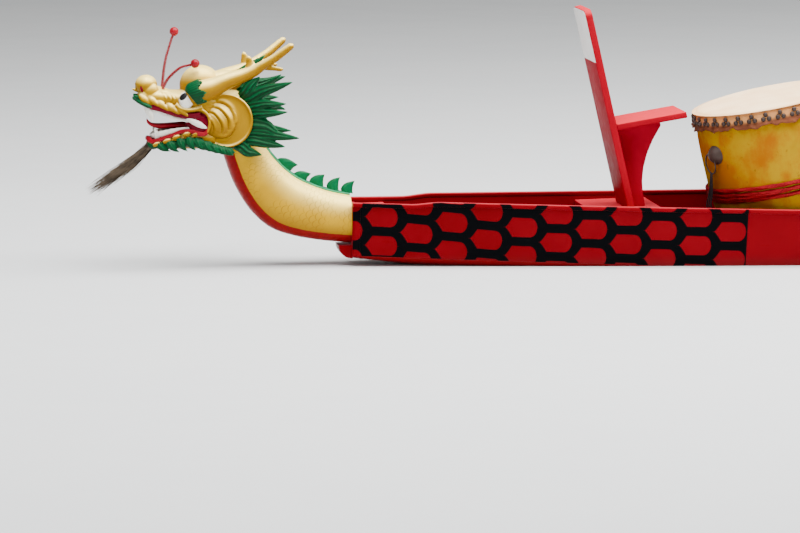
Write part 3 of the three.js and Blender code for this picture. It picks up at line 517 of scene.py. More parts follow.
def hull_scales():
    """Gloss red with a black lattice along each end of the hull: in rows that follow the rail and rise a
    little at the end, each cell has a point towards the end of the boat and a round end towards the
    middle. The lattice covers a band, and last is the middle of the cell furthest from the end. A cell
    with its border is pitch long and row high; half its own length is long, half its height is high,
    and cusp is the length of its point and of its round end. All are metres."""
    band, last, pitch, row = 1.562, 1.493, 0.138, 0.116
    long, high, cusp = 0.0635, 0.039, 0.029
    rise, start = 0.028, 10.5 * row - 0.0766
    r = Recipe("hull_scales")
    x, y, z = r.axes()
    wobble = (r.noise(9.0, 2.0) - 0.5) * 0.006
    from_end = HALF_LENGTH * MM - abs(x)
    way = x / (HALF_LENGTH * MM)
    rail = way * way * (SHEER_RISE * MM) + SHEER_MID * MM
    u = (from_end - last) / pitch
    column = r.math("FLOOR", u + 0.5)
    p = (u - column) * pitch + wobble
    shifted = r.math("PINGPONG", column, 1.0) * (row / 2)
    q = rail - z + wobble + from_end.step(0.7, 0.1, 0.0, rise) + shifted + start
    q = r.math("MODULO", q, row) - row / 2
    point = r.math("POWER", ((p + long) / cusp).clamped(), 1.25)
    rear = ((p - (long - cusp)) / cusp).clamped()
    half = point * r.math("SQRT", 1.0 - rear * rear) * high
    inside = (half - abs(q)).step(-0.0012, 0.0012)
    in_band = from_end.step(band - 0.001, band + 0.001, 1.0, 0.0) * from_end.step(0.0, 0.001)
    _, sideways, upward = r.facing()
    outward = (sideways * r.math("SIGN", y)).step(0.25, 0.3)
    black = (1.0 - inside) * (in_band * outward)
    plain = r.mix(r.noise(2.2, 4.0).step(0.35, 0.7, 0.0, 0.5), RED, DEEP_RED)
    # Painted highlight: lighter red where the surface faces up, the sky's reflection on the rail's top
    plain = r.mix(upward.step(0.45, 0.9, 0.0, 0.8), plain, (0.4, 0.02, 0.03))
    # Darker and greyer towards the waterline
    plain = r.mix(z.step(0.06, -0.02) * 0.4, plain, (0.1, 0.02, 0.018))
    fine = r.noise(40.0, 5.0, (0.2, 1, 1))
    rough = fine.step(0.2, 0.8, 0.26, 0.4) + black * 0.2
    edge = r.bump(black, 0.3, 0.6)
    return r.done(r.mix(black, plain, LATTICE), rough, r.bump(fine, 0.16, 1.0, edge), 0.025)


def neck_scales(name, belly_height):
    """Gold with overlapping scales pressed into it, and a red belly up to its height over the keel. The
    first map gives metres along and round the body; a scale is the last of the circles, each row
    shifted by half a scale, that reach the point."""
    size, lap = 0.031, 0.62
    r = Recipe(name)
    along, around, _ = r.uv("Places")
    u = along / (size * lap)
    row = r.math("FLOOR", u)
    v = around / size + r.math("PINGPONG", row, 1.0) * 0.5
    across = r.math("FRACT", v + 20.0) - 0.5
    arc = r.math("SQRT", (0.2501 - across * across).clamped())
    rim = abs(u - row - arc * 1.7).step(0.0, 0.17, 1.0, 0.0)
    faint = rim * r.noise(11.0, 3.0).step(0.4, 0.62, 0.05, 0.9)
    fine = r.noise(60.0, 5.0)
    base = r.mix(r.noise(6.0, 3.0).step(0.35, 0.7, 0.0, 0.3), GOLD, OCHRE)
    base = r.mix(faint * 0.7, base, OCHRE)
    # Dirt and painted shade: darker in the hollows
    base = r.mix(r.hollows(4.0), base, OCHRE)
    upward = r.facing()[2]
    # Painted shade where the surface faces down, and a painted cream highlight where it faces up
    base = r.mix(upward.step(0.1, -0.6, 0.0, 0.8), base, OCHRE)
    base = r.mix(upward.step(-0.05, 0.8, 0.0, 0.95) * (1.0 - faint * 0.5), base, CREAM)
    height = r.uv("Height")[0] + (r.noise(24.0, 2.0) - 0.5) * 0.003
    belly = height.step(belly_height - 0.0007, belly_height + 0.0007, 1.0, 0.0)
    red = r.mix(fine.step(0.4, 0.7, 0.0, 0.5), BELLY_RED, DEEP_RED)
    press = r.bump(faint * (1.0 - belly), -0.8, 2.4)
    rough = fine.step(0.2, 0.8, 0.3, 0.5)
    return r.done(r.mix(belly, base, red), rough, r.bump(fine, 0.2, 1.2, press), 0.08, 0.2)


def crest_green():
    """Green fins whose edges are pale, by the attribute pale."""
    r = Recipe("crest_green")
    fine = r.noise(50.0, 5.0, (1, 1, 0.4))
    base = r.mix(fine.step(0.45, 0.85), FIN_GREEN, GREEN)
    base = r.mix((r.attribute("pale") + fine * 0.3).step(0.95, 1.3), base, PALE_GREEN)
    return r.done(base, fine.step(0.2, 0.8, 0.35, 0.55), r.bump(fine, 0.3, 1.5), 0.1)


def bare_wood(name, light, dark):
    """Varnished wood: rings drawn out along X, with pores."""
    stretch = (0.6, 9, 9)
    r = Recipe(name)
    pores = r.noise(26.0, 4.0, stretch)
    base = r.mix(r.noise(4.0, 6.0, stretch, 0.6).step(0.3, 0.7), light, dark)
    base = r.mix(pores.step(0.55, 0.75, 0.0, 0.5), base, dark)
    # Dirt and painted shade: darker in the hollows
    base = r.mix(r.hollows(3.0), base, dark)
    return r.done(base, pores.step(0.2, 0.8, 0.32, 0.54), r.bump(pores, 0.25, 0.8), varnish=0.3)


def brushed_steel():
    """Brushed stainless steel with faint stains."""
    r = Recipe("lock_steel")
    brush = r.noise(120.0, 3.0, (1, 1, 0.08))
    stain = r.noise(18.0, 4.0).step(0.5, 0.75, 0.0, 0.6)
    base = r.mix(stain, (0.52, 0.53, 0.54), (0.24, 0.21, 0.18))
    return r.done(base, brush.step(0.2, 0.8, 0.24, 0.42), r.bump(brush, 0.15, 0.4), metallic=1.0)


def drum_lacquer():
    """Yellow lacquer over staves, worn to orange and brown by rope and rain."""
    r = Recipe("drum_lacquer")
    flecks = r.noise(46.0, 6.0)
    wear = r.noise(5.5, 6.0, (1, 1, 0.7), 0.65)
    base = r.mix(wear.step(0.42, 0.62), (0.35, 0.2, 0.0002), (0.31, 0.09, 0.0004))
    base = r.mix(r.noise(3.0, 3.0).step(0.5, 0.68, 0.0, 0.7), base, (0.19, 0.13, 0.001))
    base = r.mix(flecks.step(0.62, 0.72, 0.0, 0.7), base, (0.18, 0.075, 0.012))
    return r.done(base, flecks.step(0.3, 0.7, 0.3, 0.48), r.bump(flecks, 0.14, 1.0), 0.0)


def drum_skin():
    """Hide, cream on top, tanned over the shoulder and brown at the hem; the attribute lap runs from
    0 on top to 1 at the hem."""
    r = Recipe("drum_skin")
    cloud, pores = r.noise(7.0, 5.0), r.noise(160.0, 3.0)
    lap = r.attribute("lap")
    top = r.mix(cloud.step(0.35, 0.7), (0.98, 0.72, 0.43), (0.9, 0.6, 0.32))
    side = r.mix(cloud.step(0.3, 0.7), (0.6, 0.26, 0.085), (0.46, 0.18, 0.06))
    hem = r.mix(cloud.step(0.3, 0.7), (0.15, 0.045, 0.02), (0.07, 0.02, 0.01))
    base = r.mix(lap.step(0.02, 0.2), top, side)
    base = r.mix(lap.step(0.5, 0.8), base, hem)
    base = r.mix(pores.step(0.5, 0.8, 0.0, 0.15), base, (0.3, 0.17, 0.09))
    return r.done(base, pores.step(0.2, 0.8, 0.5, 0.7), r.bump(pores, 0.2, 0.6), 0.04)


def rope_fibre(name, light, dark):
    """Laid rope: painted shade darkens it between the strands, with loose fibres along them."""
    r = Recipe(name)
    fibres = r.noise(240.0, 3.0)
    base = r.mix(fibres.step(0.3, 0.75), light, dark)
    # Painted shade between the strands
    base = r.mix(r.hollows(6.0), base, dark)
    return r.done(base, fibres.step(0.2, 0.8, 0.7, 0.92), r.bump(fibres, 0.5, 0.8), 0.1)


def beard_hair():
    """Coarse grey-brown hair, paler strand by strand."""
    r = Recipe("beard_hair")
    strands = r.noise(190.0, 2.0, (0.1, 1, 0.1))
    base = r.mix(strands.step(0.3, 0.7), (0.022, 0.016, 0.011), (0.15, 0.11, 0.075))
    return r.done(base, strands.step(0.2, 0.8, 0.55, 0.8), r.bump(strands, 0.2, 0.4), 0.1)


def eye_paint():
    """A white eye, stained in places, with a black oval pupil that looks forward and slants back."""
    pupil_x, pupil_z, half_long, half_short = 6.474, 0.695, 0.0255, 0.0145
    r = Recipe("eye_paint")
    x, _, z = r.axes()
    away, rise = x - pupil_x, z - pupil_z
    long, short = (rise - away) / half_long, (rise + away) / half_short
    outside = (long * long + short * short).step(0.9, 1.1)
    stain = r.noise(70.0, 4.0)
    white = r.mix(stain.step(0.4, 0.7, 0.0, 0.35), WHITE, (0.6, 0.55, 0.46))
    colour = r.mix(outside, (0.006, 0.006, 0.007), white)
    return r.done(colour, stain.step(0.2, 0.8, 0.3, 0.42), r.bump(stain, 0.05, 0.4), 0.2)


def pale_floor():
    """A plain pale floor, barely mottled."""
    r = Recipe("pale_floor")
    cloud = r.noise(1.2, 3.0)
    base = r.mix(cloud.step(0.3, 0.7), (0.66, 0.67, 0.67), (0.62, 0.63, 0.635))
    return r.done(base, cloud.step(0.3, 0.7, 0.5, 0.6))


# Gold and the seat's gloss red take painted shade where they face down and a painted highlight where they
# face up; green takes painted shade below, and its ridges are lightened as wear and painted highlight both
gold_paint = painted("gold_paint", GOLD, OCHRE, 0.36, 0.08, hollow=6.0, under=0.85, painted_highlight=CREAM,
                     metallic=0.2)
green_paint = painted("green_paint", GREEN, DARK_GREEN, 0.4, 0.1, under=0.7, worn=WORN_AND_HIGHLIGHT_GREEN)
tooth_white = painted("tooth_white", WHITE, (0.42, 0.36, 0.27), 0.32)
mouth_red = painted("mouth_red", MOUTH_RED, (0.04, 0.0002, 0.003), 0.4, 0.08)
lip_red = painted("lip_red", LIP_RED, DEEP_RED, 0.34, 0.12)
gloss_red = painted("gloss_red", (0.32, 0.0003, 0.012), RED, 0.45, 0.012, grain=0.2, hollow=2.0,
                    under=0.15, painted_highlight=HIGHLIGHT_RED)
# The seat web's red is lighter than the seat's own: painted light that lifts the web out of the seat
# board's shade
web_lit_red = painted("web_lit_red", (0.42, 0.001, 0.022), RED, 0.45, 0.012, grain=0.2)
inner_red = painted("inner_red", INNER_RED, (0.12, 0.0005, 0.003), 0.45, 0.06)
feeler_red = painted("feeler_red", (0.3, 0.0004, 0.01), DEEP_RED, 0.28, 0.2)
panel_white = painted("panel_white", (0.8, 0.79, 0.77), (0.5, 0.48, 0.45), 0.34)
iron = painted("dark_iron", (0.05, 0.03, 0.024), (0.012, 0.008, 0.007), 0.5, metallic=0.3)
varnished = bare_wood("varnished_wood", (0.42, 0.235, 0.1), (0.21, 0.1, 0.038))


# The hull's lines, as functions of the distance from amidships

PLANK = 18
BEAM_MID, BEAM_END, BEAM_POWER = 560, 96, 2.15
SHEER_MID, SHEER_RISE = 172, 82
STEP_DOWN, STEP_FROM_END, STEP_LENGTH = 12, 290, 130
KEEL_MID, KEEL_RISE, KEEL_POWER = -190, 220, 3.5
CHINE_MID, CHINE_RISE, CHINE_POWER = -90, 135, 1.6

# The half width at the chine over that at the rail
CHINE_SHARE = 0.87

# How far a rail reaches past the side's outer face, and in from it, and its height
RAIL_OUT, RAIL_IN, RAIL_HIGH = 9, 20, 18


def ease(t):
    """A smooth step from 0 to 1."""
    u = np.clip(t, 0, 1)
    return u * u * (3 - 2 * u)


def share(x):
    """The way from amidships to an end, as a number from 0 to 1."""
    return np.abs(x) / HALF_LENGTH


def beam(x):
    """The half width at the rail."""
    return BEAM_MID - (BEAM_MID - BEAM_END) * share(x) ** BEAM_POWER


def sheer(x):
    """The height of the sides, which step down towards each end."""
    off = HALF_LENGTH - np.abs(x) - STEP_FROM_END
    return SHEER_MID + SHEER_RISE * share(x) ** 2 - STEP_DOWN * (1 - ease(off / STEP_LENGTH + 0.5))


def keel(x):
    """The height of the bottom at the centreline."""
    return KEEL_MID + KEEL_RISE * share(x) ** KEEL_POWER


def chine(x):
    """The height of the corner between bottom and side."""
    return CHINE_MID + CHINE_RISE * share(x) ** CHINE_POWER


def stations(end):
    """Places along the hull, closer where the rail steps and towards the ends."""
    even = np.linspace(0, 5000, 56)
    close = np.linspace(5040, end, 40)
    half = np.concatenate([even, close])
    return np.concatenate([-half[:0:-1], half])


def closed_strake(x, pairs):
    """A closed body along the hull, from the y and z of each corner of its section at the stations."""
    return skin(capped(np.stack([np.stack([x, y + 0 * x, z + 0 * x], -1) for y, z in pairs], 1)))


def side_plank():
    """The port side, flat from the rail to the chine."""
    x = stations(PLANKS_END)
    rail, low, top, foot = beam(x), CHINE_SHARE * beam(x), sheer(x), chine(x) + GAP
    outer = [(low + (rail - low) * t, foot + (top - foot) * t) for t in np.linspace(1, 0, 6)]
    inner = [(y - PLANK, z) for y, z in reversed(outer)]
    return closed_strake(x, outer + inner)


def bottom_planks():
    """The bottom: its height rises with the cube of the distance from the keel, both skins alike."""
    x = stations(PLANKS_END)
    u = np.sin(np.linspace(-np.pi / 2, np.pi / 2, 31))
    half = CHINE_SHARE * beam(x)
    outer = [(t * half, keel(x) + (chine(x) - keel(x)) * abs(t) ** 3) for t in u]
    lifted = keel(x) + PLANK
    inner = [(t * (half - PLANK), lifted + (chine(x) - lifted) * abs(t) ** 3) for t in u[::-1]]
    return closed_strake(x, outer + inner)


def rail_strip():
    """The port rail, with rounded shoulders, on top of the side."""
    x = stations(HALF_LENGTH)
    middle, half = beam(x) + (RAIL_OUT - RAIL_IN) / 2, (RAIL_OUT + RAIL_IN) / 2
    level = sheer(x) + GAP + RAIL_HIGH / 2
    return closed_strake(x, [(middle + half * a, level + RAIL_HIGH / 2 * b) for a, b in oval(20, 0.45)])


def build_hull():
    scales = hull_scales()
    for side in ("port", "starboard"):
        lengths = [f"hull_side_{side}_{place}" for place in LENGTHS]
        piece(f"side_{side}_painted", on_side(side, [side_plank()]), scales, lengths)
        rail = on_side(side, [rail_strip()])
        piece(f"rail_{side}_rounded", rail, scales, (f"rail_{side}",))
    lengths = [f"hull_bottom_{place}" for place in LENGTHS]
    piece("bottom_painted", [bottom_planks()], inner_red, lengths)
    for board in ("bow_board", "stern_board"):
        eased(board, scales, 4.0)
    for board in ("foredeck", "aft_deck", "seat_thwart", "oar_beam"):
        eased(board, gloss_red, 3.0)
    for place in ("fore", "aft"):
        eased(f"benches_{place}", inner_red, 3.0)
    eased("steering_platform", varnished, 2.5)


# The drummer's seat and the drum

SEAT_LEAN = np.radians(12.9)
SEAT_FOOT = (HALF_LENGTH - 1128, 0, 214)
DRUM_LEAN = np.radians(11.4)
DRUM_FOOT = (HALF_LENGTH - 1830, 0, 123)
DRUM_TOP = 535
WALL = 16

# The barrel's radius and height over its foot
BARREL = [
    (262, 0), (285, 60), (303, 120), (313, 200), (318, 300), (321, 400), (318, 480), (312, DRUM_TOP),
]

# The upper hide's radius and height over the barrel's top, from its middle round the hem and back
HIDE = [
    (0, 14), (120, 13), (220, 10), (275, 7.5), (301, 3), (313, -4), (319, -14), (322, -28), (326, -44),
    (331, -54), (330, -60), (325, -58), (319, -40), (313, -8), (300, 0.5), (0, 0.5),
]

# How far under the top the hide begins to waver, and how far its colours run from where over the top
HEM = 38
SHOULDER, LAP = 6, 68

# The angles of the bosses round the barrel, their height, and the groups of studs round it
BOSSES = (0.42, 2.52, 4.62)
BOSS_HEIGHT = 372
STUDS_ROUND = 35


def on_seat(shape):
    """A skin in the backboard's leaning frame, put in its place in the boat."""
    return moved(shape, by=SEAT_FOOT, tilt=SEAT_LEAN)


def on_drum(shape):
    """A skin in the drum's leaning frame, put in its place in the boat."""
    return moved(shape, by=DRUM_FOOT, tilt=DRUM_LEAN)


def rounded_slab(x0, x1, half, low, top, corner, edge=2.5):
    """An upright plate with two rounded upper corners: its outline is carried through its thickness,
    drawn in by a quarter circle at each face."""
    turn = np.linspace(0, np.pi / 2, 9)
    arc = np.stack([half - corner + corner * np.sin(turn), top - corner + corner * np.cos(turn)], -1)
    right = np.concatenate([arc, [[half, low]]])
    left = np.stack([-right[::-1, 0], right[::-1, 1]], -1)
    outline = np.concatenate([right, left])
    middle = np.array([0, (low + top) / 2])
    size = np.array([half, (top - low) / 2])
    bend = np.linspace(0, np.pi / 2, 4)
    rows = [(x0 + edge - edge * np.sin(b), edge * (1 - np.cos(b))) for b in bend[::-1]]
    rows += [(x1 - edge + edge * np.sin(b), edge * (1 - np.cos(b))) for b in bend]
    rings = []
    for x, inset in rows:
        yz = middle + (outline - middle) * (1 - inset / size)
        rings.append(np.concatenate([np.full((len(yz), 1), x), yz], 1))
    return skin(capped(np.array(rings)))


def build_drummer_seat():
    """The back, 28 mm thick, with a thin blank panel that lies 3 mm inside its outline."""
    back, half, top = 14, 125, 826
    board = rounded_slab(-back, back, half, 4, top, 30)
    piece("backboard_rounded", [on_seat(board)], gloss_red, ("drummer_backboard",))
    panel = rounded_slab(back - 1, back + 1.2, half - 3, 612, top - 3, 28, 0.8)
    piece("blank_panel", [on_seat(panel)], panel_white)
    eased("drummer_seat_board", gloss_red, 4.0, segments=3)
    eased("drummer_seat_web", web_lit_red, 2.5)


def drum_heights(mesh):
    """How high each of the mesh's points lies in the drum's leaning frame, in millimetres."""
    away = points_of(mesh) / MM - np.asarray(DRUM_FOOT)
    return away @ np.array([np.sin(DRUM_LEAN), 0, np.cos(DRUM_LEAN)])


def barrel_radius(height):
    """The barrel's radius at a height over its foot."""
    table = np.array(BARREL)
    return np.interp(height, table[:, 1], table[:, 0])


def upper_hide():
    """The upper skin: a low rise, a rounded shoulder and a lap down the barrel. Its hem stands off the
    barrel and wavers in and out and up and down with the angle."""

    def ragged(radius, height, turn):
        wave = 4.5 * np.sin(13 * turn + 0.6) + 3.5 * np.sin(29 * turn) + 2.5 * np.sin(51 * turn + 1)
        low = np.clip((DRUM_TOP - HEM - height) / 18, 0, 1)
        frill = 3.5 * np.sin(37 * turn) + 2.5 * np.sin(61 * turn) + 3
        return radius + low * frill, height - low * (wave + 3)

    fine = smooth(np.array(HIDE, float) + [0, DRUM_TOP], 80)
    fine[:, 0] = np.maximum(fine[:, 0], 0)
    return lathed(fine, 200, ragged)


def studs():
    """Domed studs round the lap in threes: one above two, in a zigzag."""
    dome = ball((0, 0, 0), (7, 10, 10), count=10)
    made = []
    for turn in np.linspace(0, 2 * np.pi, STUDS_ROUND, endpoint=False):
        for shift, drop in ((-0.036, 35), (0.0, 18), (0.036, 35)):
            place = (323 + drop * 0.1, 0, DRUM_TOP - drop)
            made.append(moved(moved(dome, by=place), turn=turn + shift))
    return made


def ring_boss(turn):
    """A forged dome with a ring that hangs aslant through its staple."""
    dome = lathed(smooth([(0, 22), (12, 21), (24, 15), (33, 6), (37, 1), (36, -4), (0, -4)], 24), 28)
    points, faces, places = dome
    upright = points[:, [2, 0, 1]] * np.array([1.25, 1.1, 1.02])
    loop = np.linspace(0, 2 * np.pi, 40, endpoint=False)
    middle = np.array([13.0, -26.0, -34.0])
    circle = middle + np.stack([7 * np.sin(loop), 40 * np.sin(loop), 40 * np.cos(loop)], -1)
    inward = unit(circle - middle)
    side = np.array([1.0, 0, 0])
    ring = np.stack([circle + 3.6 * (np.cos(a) * inward + np.sin(a) * side)
                     for a in np.linspace(0, 2 * np.pi, 8, endpoint=False)], 1)
    closed = np.concatenate([ring, ring[:1]])
    place = (barrel_radius(BOSS_HEIGHT) + 2, 0, BOSS_HEIGHT)
    return [moved(moved(s, by=place), turn=turn) for s in ((upright, faces, places), skin(closed))]


def wound_rope(start, turns, thick, rise, loose, off=0.0):
    """Rope wound round the barrel: a helix that gains rise each turn, whose section is three strands
    twisted round each other. It sways up and down by loose, and its ends are tucked in at starboard."""
    steps, twist, tuck = 170, 19, 0.12
    turn = np.linspace(0, 2 * np.pi * turns, steps * turns)
    sway = loose * (np.sin(1.7 * turn + off) + 0.6 * np.sin(3.1 * turn + 2 * off))
    height = start + thick / 2 + rise * turn / (2 * np.pi) + sway
    radius = barrel_radius(height) + thick * 0.3 + 0.4 * loose * np.sin(2.3 * turn + off)
    radius = radius - thick * 0.9 * np.clip(1 - np.minimum(turn, turn[-1] - turn) / tuck, 0, 1)
    out = np.stack([np.sin(turn), -np.cos(turn), 0 * turn], -1)
    path = out * radius[:, None] + np.stack([0 * turn, 0 * turn, height], -1)
    angle = np.linspace(0, 2 * np.pi, 12, endpoint=False)[None]
    lobes = 0.5 * thick * (0.85 + 0.15 * np.cos(3 * angle + twist * turn[:, None]))
    over = np.array([0.0, 0.0, 1.0])
    ring = out[:, None] * (lobes * np.cos(angle))[..., None] + over * (lobes * np.sin(angle))[..., None]
    return skin(capped(path[:, None] + ring))


def ties():
    """Three taut ties under each boss: a smooth path from it, out over the rope and in to the stand."""
    made = []
    for turn in BOSSES:
        out = np.array([np.cos(turn), np.sin(turn), 0])
        side = np.array([-np.sin(turn), np.cos(turn), 0])
        for k in (-12, 0, 12):
            top = out * 337 + side * (-30 + k * 0.3) + [0, 0, 300]
            knee = out * 352 + side * (-64 + k * 1.3) + [0, 0, 150]
            foot = out * 214 + side * k * 1.4 + [0, 0, -14]
            path = smooth([top, (top + knee) / 2, knee, (knee + foot) / 2, foot], 60)
            made.append(bar(path, 3, 8, side=(0.2, 1, 0.1)))
    return made


def build_hides():
    """The two hides, each with the attribute lap that colours it."""
    finish = drum_skin()
    upper = new_object("hide_top", [on_drum(upper_hide())])
    placed(upper, finish, ("drum_head_top",))
    below = DRUM_TOP + SHOULDER - drum_heights(upper.data)
    with_attribute(upper.data, "lap", np.clip(below / LAP, 0, 1))
    disc = lathed([(0, -GAP), (256, -GAP), (260, -3), (256, -8), (0, -8)], 96)
    lower = new_object("hide_bottom", [on_drum(disc)])
    placed(lower, finish, ("drum_head_bottom",))
    with_attribute(lower.data, "lap", np.zeros(len(lower.data.vertices)))


def build_drum():
    outer = smooth(BARREL, 40)
    inner = outer[::-1] - [WALL, 0]
    barrel = lathed(np.concatenate([outer, inner, outer[:1]]), 128)
    piece("barrel_lacquered", [on_drum(barrel)], drum_lacquer(), ("drum_barrel",))
    build_hides()
    piece("hide_studs", [on_drum(s) for s in studs()], iron)
    piece("ring_bosses", [on_drum(s) for turn in BOSSES for s in ring_boss(turn)], iron)
    rope = rope_fibre("red_rope", (0.27, 0.002, 0.007), (0.08, 0.001, 0.003))
    strands = [wound_rope(163, 3, 19, 21.5, 1.5), wound_rope(172, 1, 19, 34, 5.0, 2.1)]
    piece("rope_wound", [on_drum(s) for s in strands], rope, ("drum_rope",))
    eased("drum_stand", varnished, 3.0)
    dark = rope_fibre("dark_cord", (0.035, 0.028, 0.03), (0.01, 0.008, 0.009))
    piece("tie_cords", [on_drum(s) for s in ties()], dark)


# The neck and the tail

# The neck's belly x and z, its back x and z, and its half width
NECK_ROWS = [
    (0, 88, 0, 281, 84), (120, 101, 70, 295, 88), (230, 122, 140, 318, 92), (324, 158, 207, 349, 93),
    (401, 229, 260, 388, 90), (460, 325, 306, 436, 85), (499, 427, 340, 482, 80),
    (524, 520, 378, 540, 74),
]

# The x and z of each fin's tip, root and heel, counted forward from the bow end
NECK_FINS = [
    (207, 404, 292, 430, 238, 380), (154, 368, 228, 367, 174, 341), (100, 364, 164, 335, 105, 314),
    (38, 352, 94, 313, 44, 300), (-21, 336, 36, 300, -12, 290),
]

# The tail's middle, counted aft from the stern end, its height, half width and half height
TAIL_ROWS = [
    (0, 184, 84, 97), (110, 186, 86, 92), (225, 208, 82, 84), (330, 262, 74, 74), (412, 344, 62, 62),
    (468, 446, 48, 48), (496, 556, 36, 36), (492, 660, 26, 26), (456, 746, 17, 17), (402, 790, 9, 9),
]

# The tail's fins, as for the neck, but counted aft from the stern end
TAIL_FINS = [
    (64, 334, 4, 287, 60, 285), (128, 335, 68, 284, 124, 285), (186, 342, 132, 285, 186, 291),
    (238, 358, 194, 293, 244, 309), (284, 384, 252, 312, 298, 335), (322, 414, 305, 339, 344, 370),
    (352, 454, 350, 376, 384, 415),
]

# The x and z of each flame's path, counted aft from the stern end, and the half widths and half
# heights that all of them share
TAIL_FLAMES = [
    [(478, 600), (540, 660), (560, 740), (548, 812)],
    [(486, 640), (520, 728), (516, 812), (488, 890)],
    [(470, 700), (470, 776), (440, 850), (392, 900)],
    [(440, 740), (410, 800), (362, 838), (300, 846)],
    [(486, 570), (556, 600), (596, 656), (610, 726)],
]
FLAME_SIZES = [(26, 32), (17, 32), (11, 20), (1.5, 2)]


def scaled_body(node, belly, back, wide, belly_height):
    """The neck or the tail, between its belly's and its back's lines: a round body whose belly edge
    is drawn out to a keel, with a low rib along each side under the crest. Its first map holds metres
    along the body and round it from the keel, its second the height over the keel."""
    around = 96
    turn = np.linspace(0, 2 * np.pi, around, endpoint=False) - np.pi / 2
    a, b = np.cos(turn), np.sin(turn)
    middle, up = (belly + back) / 2, back - belly
    half = np.linalg.norm(up, axis=1) / 2
    up = unit(up)
    rib = 0.045 * np.exp(-(((np.abs(a) - 0.42) / 0.09) ** 2)) * (b > 0)
    out = np.sign(a) * np.abs(a) ** 0.86 * (1 + rib)
    rise = b * (1 + rib)
    sideways = ACROSS * (wide[:, None] * out)[..., None]
    upward = up[:, None] * (half[:, None] * rise)[..., None]
    body, faces, _ = skin(capped(middle[:, None] + sideways + upward))
    run, size = (np.concatenate([v[:1], v, v[-1:]]) for v in (run_along(middle), half))

    def places(row, column):
        angle = column / around * 2 * np.pi
        parts = [run[row], angle * size[row].mean(), size[row] * (1 - np.cos(angle)), 0.0 * angle]
        return np.stack(parts, -1)

    i, j = np.meshgrid(np.arange(len(size) - 1), np.arange(around), indexing="ij")
    j = np.where(j < around // 2, j, j - around)
    corners = np.stack([places(i, j), places(i, j + 1), places(i + 1, j + 1), places(i + 1, j)], -2)
    obj = new_object(f"{node}_scaled", [(body, faces, corners.reshape(-1, 4, 4) * MM)])
    placed(obj, neck_scales(f"{node}_scales", belly_height), (node,))


def fin(tip, root, heel, thick):
    """One fin of a crest: a leaf between a bulging edge from its root to its tip and a steep edge from
    its heel to its tip, thick in its middle and at its foot, with ribs that run to the tip."""
    tip, root, heel = (np.array([x, 0, z], float) for x, z in (tip, root, heel))
    way = unit(tip - root)
    rise = np.array([-way[2], 0, way[0]])
    rise *= 1 if rise[2] > 0 else -1
    t = np.linspace(0, 1, 17)[:, None]
    front = root + (tip - root) * t + rise * 13 * np.sin(np.pi * t**0.8)
    rear = heel + (tip - heel) * t - unit(heel - root) * 3 * np.sin(np.pi * t)
    across = np.linspace(0, 1, 15)
    grid = rear[:, None] + (front - rear)[:, None] * across[None, :, None]
    grid[0] -= rise * 6
    swell = np.sqrt(np.clip(1 - (2 * across - 1) ** 2, 0, 1))[None] * (1 - 0.7 * t**1.3)
    ribs = 1 - 0.22 * np.abs(np.sin(3 * np.pi * across))[None]
    side = ACROSS * (thick / 2 * swell * ribs)[..., None]
    return skin(capped(np.concatenate([grid + side, (grid - side)[:, ::-1]], 1)))


def crest(node, fins, ridge, way):
    """The row of fins on its ridge, on the end of the boat that way, 1 or -1, points to. The ridge's
    lower edges and the fins' rims are pale."""
    shapes = []
    for row in fins:
        tip, root, heel = (((x + HALF_LENGTH) * way, z) for x, z in zip(row[::2], row[1::2]))
        shapes.append(fin(tip, root, heel, 22))
    path = smooth(ridge, 70)
    shapes.append(skin(capped(carried(path, np.full(70, 14.0), np.full(70, 7.0), oval(12)))))
    obj = new_object(f"{node}_fins", shapes)
    placed(obj, crest_green(), (f"{node}_crest",))
    side = np.abs(points_of(obj.data)[:, 1]) / MM
    with_attribute(obj.data, "pale", np.where(side > 11.2, 1.0, np.where(side < 1.0, 0.66, 0.0)))


def build_neck():
    rows = smooth(NECK_ROWS, 90)
    belly = np.stack([rows[:, 0], 0 * rows[:, 0], rows[:, 1]], -1)
    back = np.stack([rows[:, 2], 0 * rows[:, 0], rows[:, 3]], -1)
    belly[0, 0] = back[0, 0] = GAP
    scaled_body("neck", belly + BOW, back + BOW, rows[:, 4], 0.038)
    crest("neck", NECK_FINS, back[::-1][14:] + BOW + np.array([0, 0, 3.0]), 1)


def build_tail():
    rows = smooth(TAIL_ROWS, 90)
    middle = np.stack([-rows[:, 0] - GAP, 0 * rows[:, 0], rows[:, 1]], -1) - BOW
    along = unit(np.gradient(middle, axis=0))
    along[0] = (-1, 0, 0)
    up = np.cross(along, -ACROSS)
    half = rows[:, 3:]
    belly, back = middle - up * half, middle + up * half
    scaled_body("tail", belly, back, rows[:, 2], 0.034)
    crest("tail", TAIL_FINS, back[4:52] + np.array([0, 0, 2.0]), -1)
    flames = []
    for path in TAIL_FLAMES:
        rows = [(-x - HALF_LENGTH, 0, z, *size) for (x, z), size in zip(path, FLAME_SIZES)]
        flames.append(limb(rows, 40, grooved(32, 3, 0.22)))
    piece("tail_flames_carved", flames, green_paint, ("tail_flames",), melt=3.2, relax=1)


# The head

# The middle of the port cheek's face, and how far it turns forward
CHEEK = (506, 97, 597)
CHEEK_TURN = np.radians(14.4)

